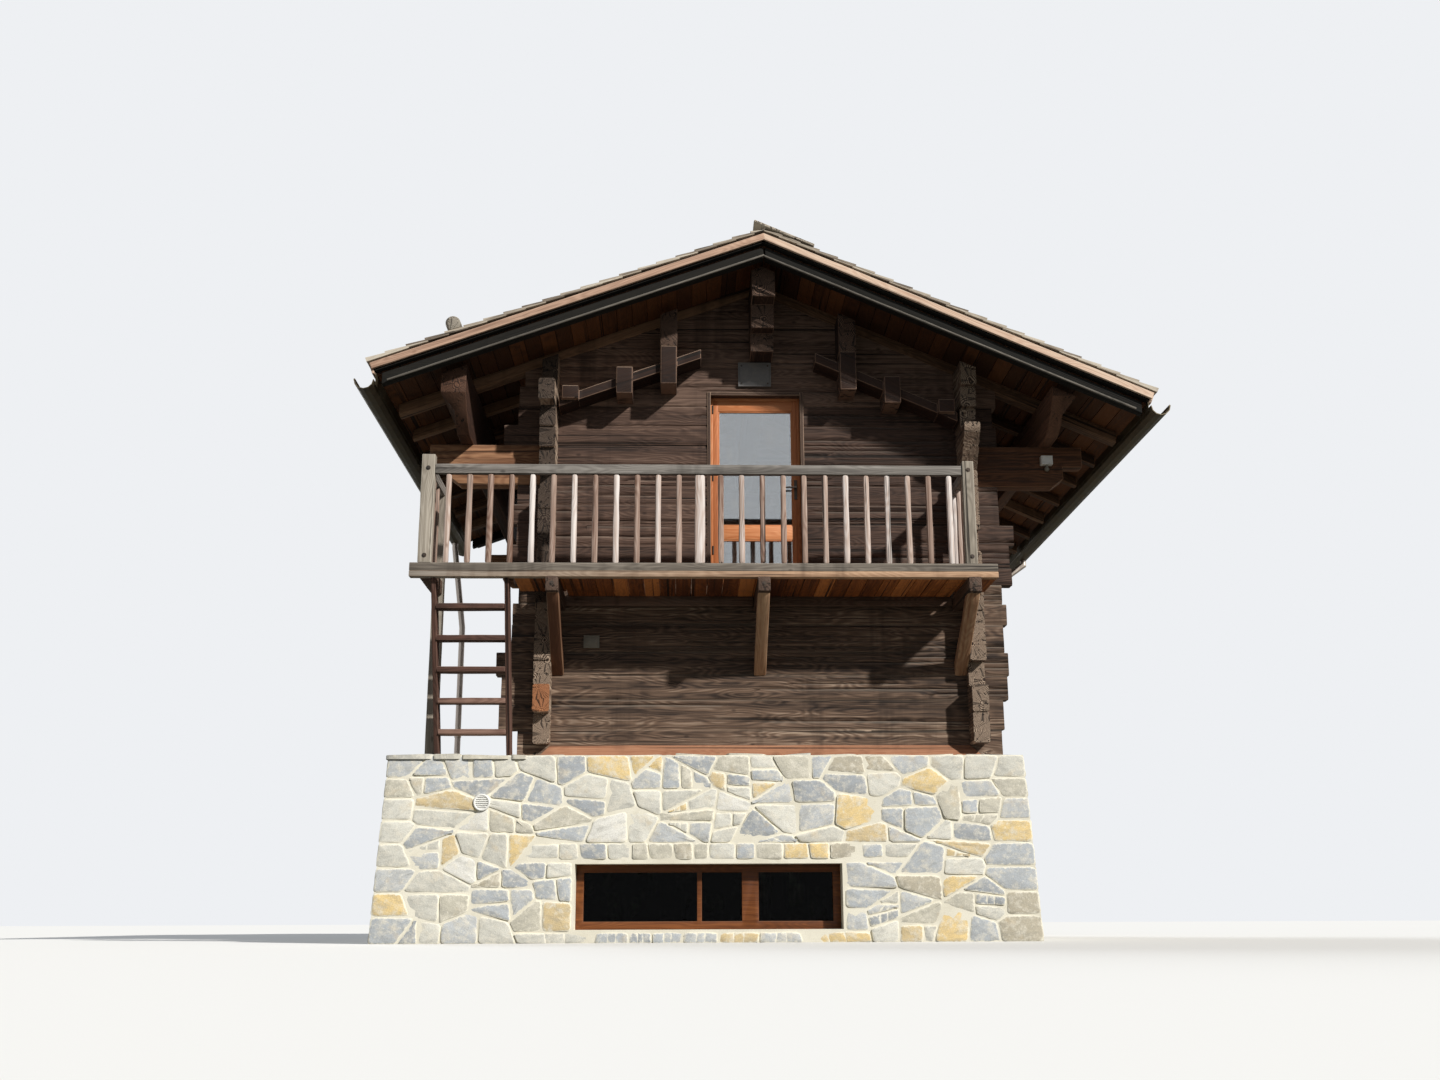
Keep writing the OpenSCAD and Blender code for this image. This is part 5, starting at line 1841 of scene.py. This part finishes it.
@dataclass
class Fittings:
    """Vent, plate, box, lamp, clamps, gutter beads, snow-log hooks and bolts."""

    louvres: int = 7
    vent_rim: float = 0.011
    screw: float = 0.009
    bolt: float = 0.015
    lamp_height: float = 0.095
    clamp_heights: tuple[float, ...] = (0.4, 1.25, 2.6, 3.95)
    wall_height: float = 1.5
    bead: float = 0.009
    gutter_width: float = 0.2
    sheet_rise: Point = (0.055, 0.09)
    hooks: int = 6

    def build(self) -> None:
        """Models all the small things."""
        self.vent()
        self.plate()
        self.box()
        self.lamp()
        self.gutter_beads()
        self.clamps()
        self.snow_hooks()
        self.bolts()

    def end(self, obj: Object, finish: Finish, nodes: Sequence[str] = (), arris: float = 0.0) -> None:
        """Eases the edges of a piece where asked, and completes it."""
        if arris:
            with editing(obj):
                pick(obj, Pick.EDGES, lambda edge: edge.calc_face_angle(0) > math.radians(60))
                bpy.ops.mesh.bevel(offset=arris, segments=2, affect="EDGES")
        smooth(obj)
        complete(obj, finish, nodes)

    def vent(self) -> None:
        """A round cap with a rim and slanted louvres."""
        low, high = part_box("vent_cap")
        (x, _, middle), back, radius = (low + high) / 2, high.y, (high.x - low.x) / 2
        with editing(new_piece("vent_rim")) as cap:
            add_rod((x, back + 0.01, middle), (x, back - 0.022, middle), radius, 48)
            bpy.ops.mesh.primitive_torus_add(
                location=(x, back - 0.025, middle), rotation=(math.pi / 2, 0, 0), major_segments=48,
                minor_segments=12, major_radius=radius - self.vent_rim, minor_radius=self.vent_rim)
        with editing(new_piece("vent_louvres")) as bars:
            for k in range(self.louvres):
                z = radius * 0.66 * (2 * k / (self.louvres - 1) - 1)
                half = math.sqrt((radius - 0.018) ** 2 - z * z)
                bpy.ops.mesh.primitive_cube_add(size=1, location=(x, back - 0.026, middle + z),
                                                rotation=(0.7, 0, 0), scale=(2 * half, 0.016, 0.004))
        self.end(cap, WHITE_PLASTIC, ("vent_cap",))
        self.end(bars, WHITE_PLASTIC)

    def plate(self) -> None:
        """A bare plate with a folded edge and four screws."""
        low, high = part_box("gable_plate")
        with editing(new_piece("plate_sheet")) as sheet:
            add_block((low.x, low.y + 0.008, low.z), high)
            add_frame(low, Vector((high.x, low.y + 0.009, high.z)), 0.012)
        with editing(new_piece("plate_screws")) as screws:
            for x in (low.x + 0.035, high.x - 0.035):
                for z in (low.z + 0.035, high.z - 0.035):
                    add_rod((x, low.y + 0.01, z), (x, low.y + 0.003, z), self.screw)
        self.end(sheet, PLATE_GREY, ("gable_plate",), 0.0015)
        self.end(screws, IRON)

    def box(self) -> None:
        """A socket box: back, lid with a raised edge, and its hinge."""
        low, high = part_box("socket_box")
        with editing(new_piece("socket_box_shell")) as obj:
            add_block((low.x + 0.004, low.y + 0.016, low.z + 0.004), (high.x - 0.004, high.y, high.z - 0.004))
            add_block((low.x, low.y + 0.006, low.z), (high.x, low.y + 0.018, high.z))
            add_block((low.x + 0.018, low.y, low.z + 0.018), (high.x - 0.018, low.y + 0.007, high.z - 0.026))
            add_rod((low.x + 0.02, low.y + 0.01, high.z - 0.01),
                    (high.x - 0.02, low.y + 0.01, high.z - 0.01), 0.008)
        self.end(obj, GREY_PLASTIC, ("socket_box",), 0.002)

    def lamp(self) -> None:
        """A white housing with a framed front, and the sensor's ball under it."""
        low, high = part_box("wall_lamp")
        x, y, z = (low.x + high.x) / 2, high.y - 0.04, high.z - self.lamp_height
        with editing(new_piece("lamp_housing")) as housing:
            add_block((low.x, low.y + 0.008, z), high)
            add_frame(Vector((low.x, low.y, z)), Vector((high.x, low.y + 0.01, high.z)), 0.01)
        with editing(new_piece("lamp_sensor")) as sensor:
            add_rod((x, y, z + 0.005), (x, y, z - 0.03), 0.012, 16)
            bpy.ops.mesh.primitive_uv_sphere_add(
                segments=24, ring_count=16, radius=0.026, location=(x, y, z - 0.045))
        self.end(housing, WHITE_PLASTIC, ("wall_lamp",), 0.0015)
        self.end(sensor, GREY_PLASTIC)

    def gutter_beads(self) -> None:
        """The rolled outer rims of both gutters, and the sheets behind them up to the roof."""
        places = vertex_places(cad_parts["gutters"].data)
        front, back = places[:, 1].min() + 0.002, places[:, 1].max() - 0.002
        rims, sheets = new_piece("gutter_rims"), new_piece("gutter_back_sheets")
        for (rim, _, z), inward in ((places[np.argmax(places[:, 0])], -1),
                                    (places[np.argmin(places[:, 0])], 1)):
            x = rim + inward * self.bead
            with editing(rims):
                add_rod((x, front, z), (x, back, z), self.bead)
            x = rim + inward * (self.gutter_width + 0.003)
            with editing(sheets):
                add_block((x - 0.0015, front + 0.06, z - 0.03),
                          (x + 0.0015, back - 0.06, z + self.sheet_rise[inward > 0]))
        self.end(rims, GUTTER_METAL)
        self.end(sheets, GUTTER_METAL)

    def clamps(self) -> None:
        """Collars on the downpipes; the lower ones are held by the stone wall."""
        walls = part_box("left_stone_wall")[0].x + 0.12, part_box("right_stone_wall")[1].x - 0.12
        pipes = node_boxes("downpipes")
        with editing(new_piece("pipe_clamps")) as obj:
            for low, high in pipes:
                right = low.x > 0
                x = low.x + 0.04 if right else high.x - 0.04
                y = (low.y + high.y) / 2
                for height in self.clamp_heights:
                    add_rod((x, y, height), (x, y, height + 0.03), 0.046, 24)
                    if height < self.wall_height:
                        add_rod((x, y - 0.02, height + 0.015), (walls[right], y - 0.02, height + 0.015),
                                0.006, 10)
        self.end(obj, PIPE_METAL)

    def snow_hooks(self) -> None:
        """Straps that hold the snow log on the shingles."""
        low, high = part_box("snow_guard")
        slope = roof_slopes()[0]
        middle = (low + high) / 2
        at = (Vector((middle.x, 0, middle.z)) - slope.eave).dot(slope.up)
        with editing(new_piece("snow_hooks")) as obj:
            for k in range(self.hooks):
                y = low.y + (high.y - low.y) * (k + 0.5) / self.hooks
                across = (y - 0.02, y + 0.02)
                slope.add_block((at - 0.13, at + 0.3), (-0.007, 0.004), across)
                slope.add_block((at - 0.092, at - 0.084), (-0.13, 0.0), across)
        self.end(obj, IRON)

    def bolts(self) -> None:
        """Bolt heads on washers: on the front posts at rail and beam, and on joists past the beam."""
        beam_low, beam_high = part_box("balcony_beam")
        rail_low, rail_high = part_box("balcony_rails")
        spots = []
        for low, high in node_boxes("balcony_posts"):
            if low.y < beam_low.y + 0.05:
                spots += [Vector(((low.x + high.x) / 2, low.y, z))
                          for z in ((rail_low.z + rail_high.z) / 2, beam_high.z + 0.07)]
        for low, high in node_boxes("balcony_joists"):
            if low.y < beam_low.y:
                spots.append(Vector(((low.x + high.x) / 2, low.y, (low.z + high.z) / 2)))
        with editing(new_piece("iron_bolts")) as obj:
            for spot in spots:
                add_rod(spot + Vector((0, 0.002, 0)), spot - Vector((0, 0.003, 0)), self.bolt * 1.5, 20)
                add_rod(spot, spot - Vector((0, 0.01, 0)), self.bolt * 0.8, 6)
        self.end(obj, IRON)


def build_small_things() -> None:
    """Dresses the glass and metal that the frame carries over, and models the rest."""
    dress_nodes(CELLAR_GLASS, "basement_window_glass")
    dress_nodes(DOOR_GLASS, "door_glass")
    dress_nodes(GUTTER_METAL, "gutters")
    dress_nodes(PIPE_METAL, "downpipes")
    for things in (
            ShapedTimbers("window_frame", "basement_window_frame", WINDOW_WOOD, 105, 0.004, 0,
                          wave=0.001, grit=0.0),
            ShapedTimbers("upper_floor_boards", "upper_floor", UNDER_WOOD, 106, 0.004, 0, along=BACKWARDS),
            BalconyDoor(), Fittings()):
        things.build()


def main() -> None:
    """Builds the chalet in order."""
    logging.basicConfig(level=logging.INFO, format="%(name)s %(message)s")
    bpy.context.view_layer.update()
    studio = Studio()
    studio.camera()
    studio.floor()
    studio.light()
    Basement().build()
    build_logs()
    build_timber_frame()
    Shingles().build()
    build_small_things()
    deselect()


if __name__ == "__main__":
    main()
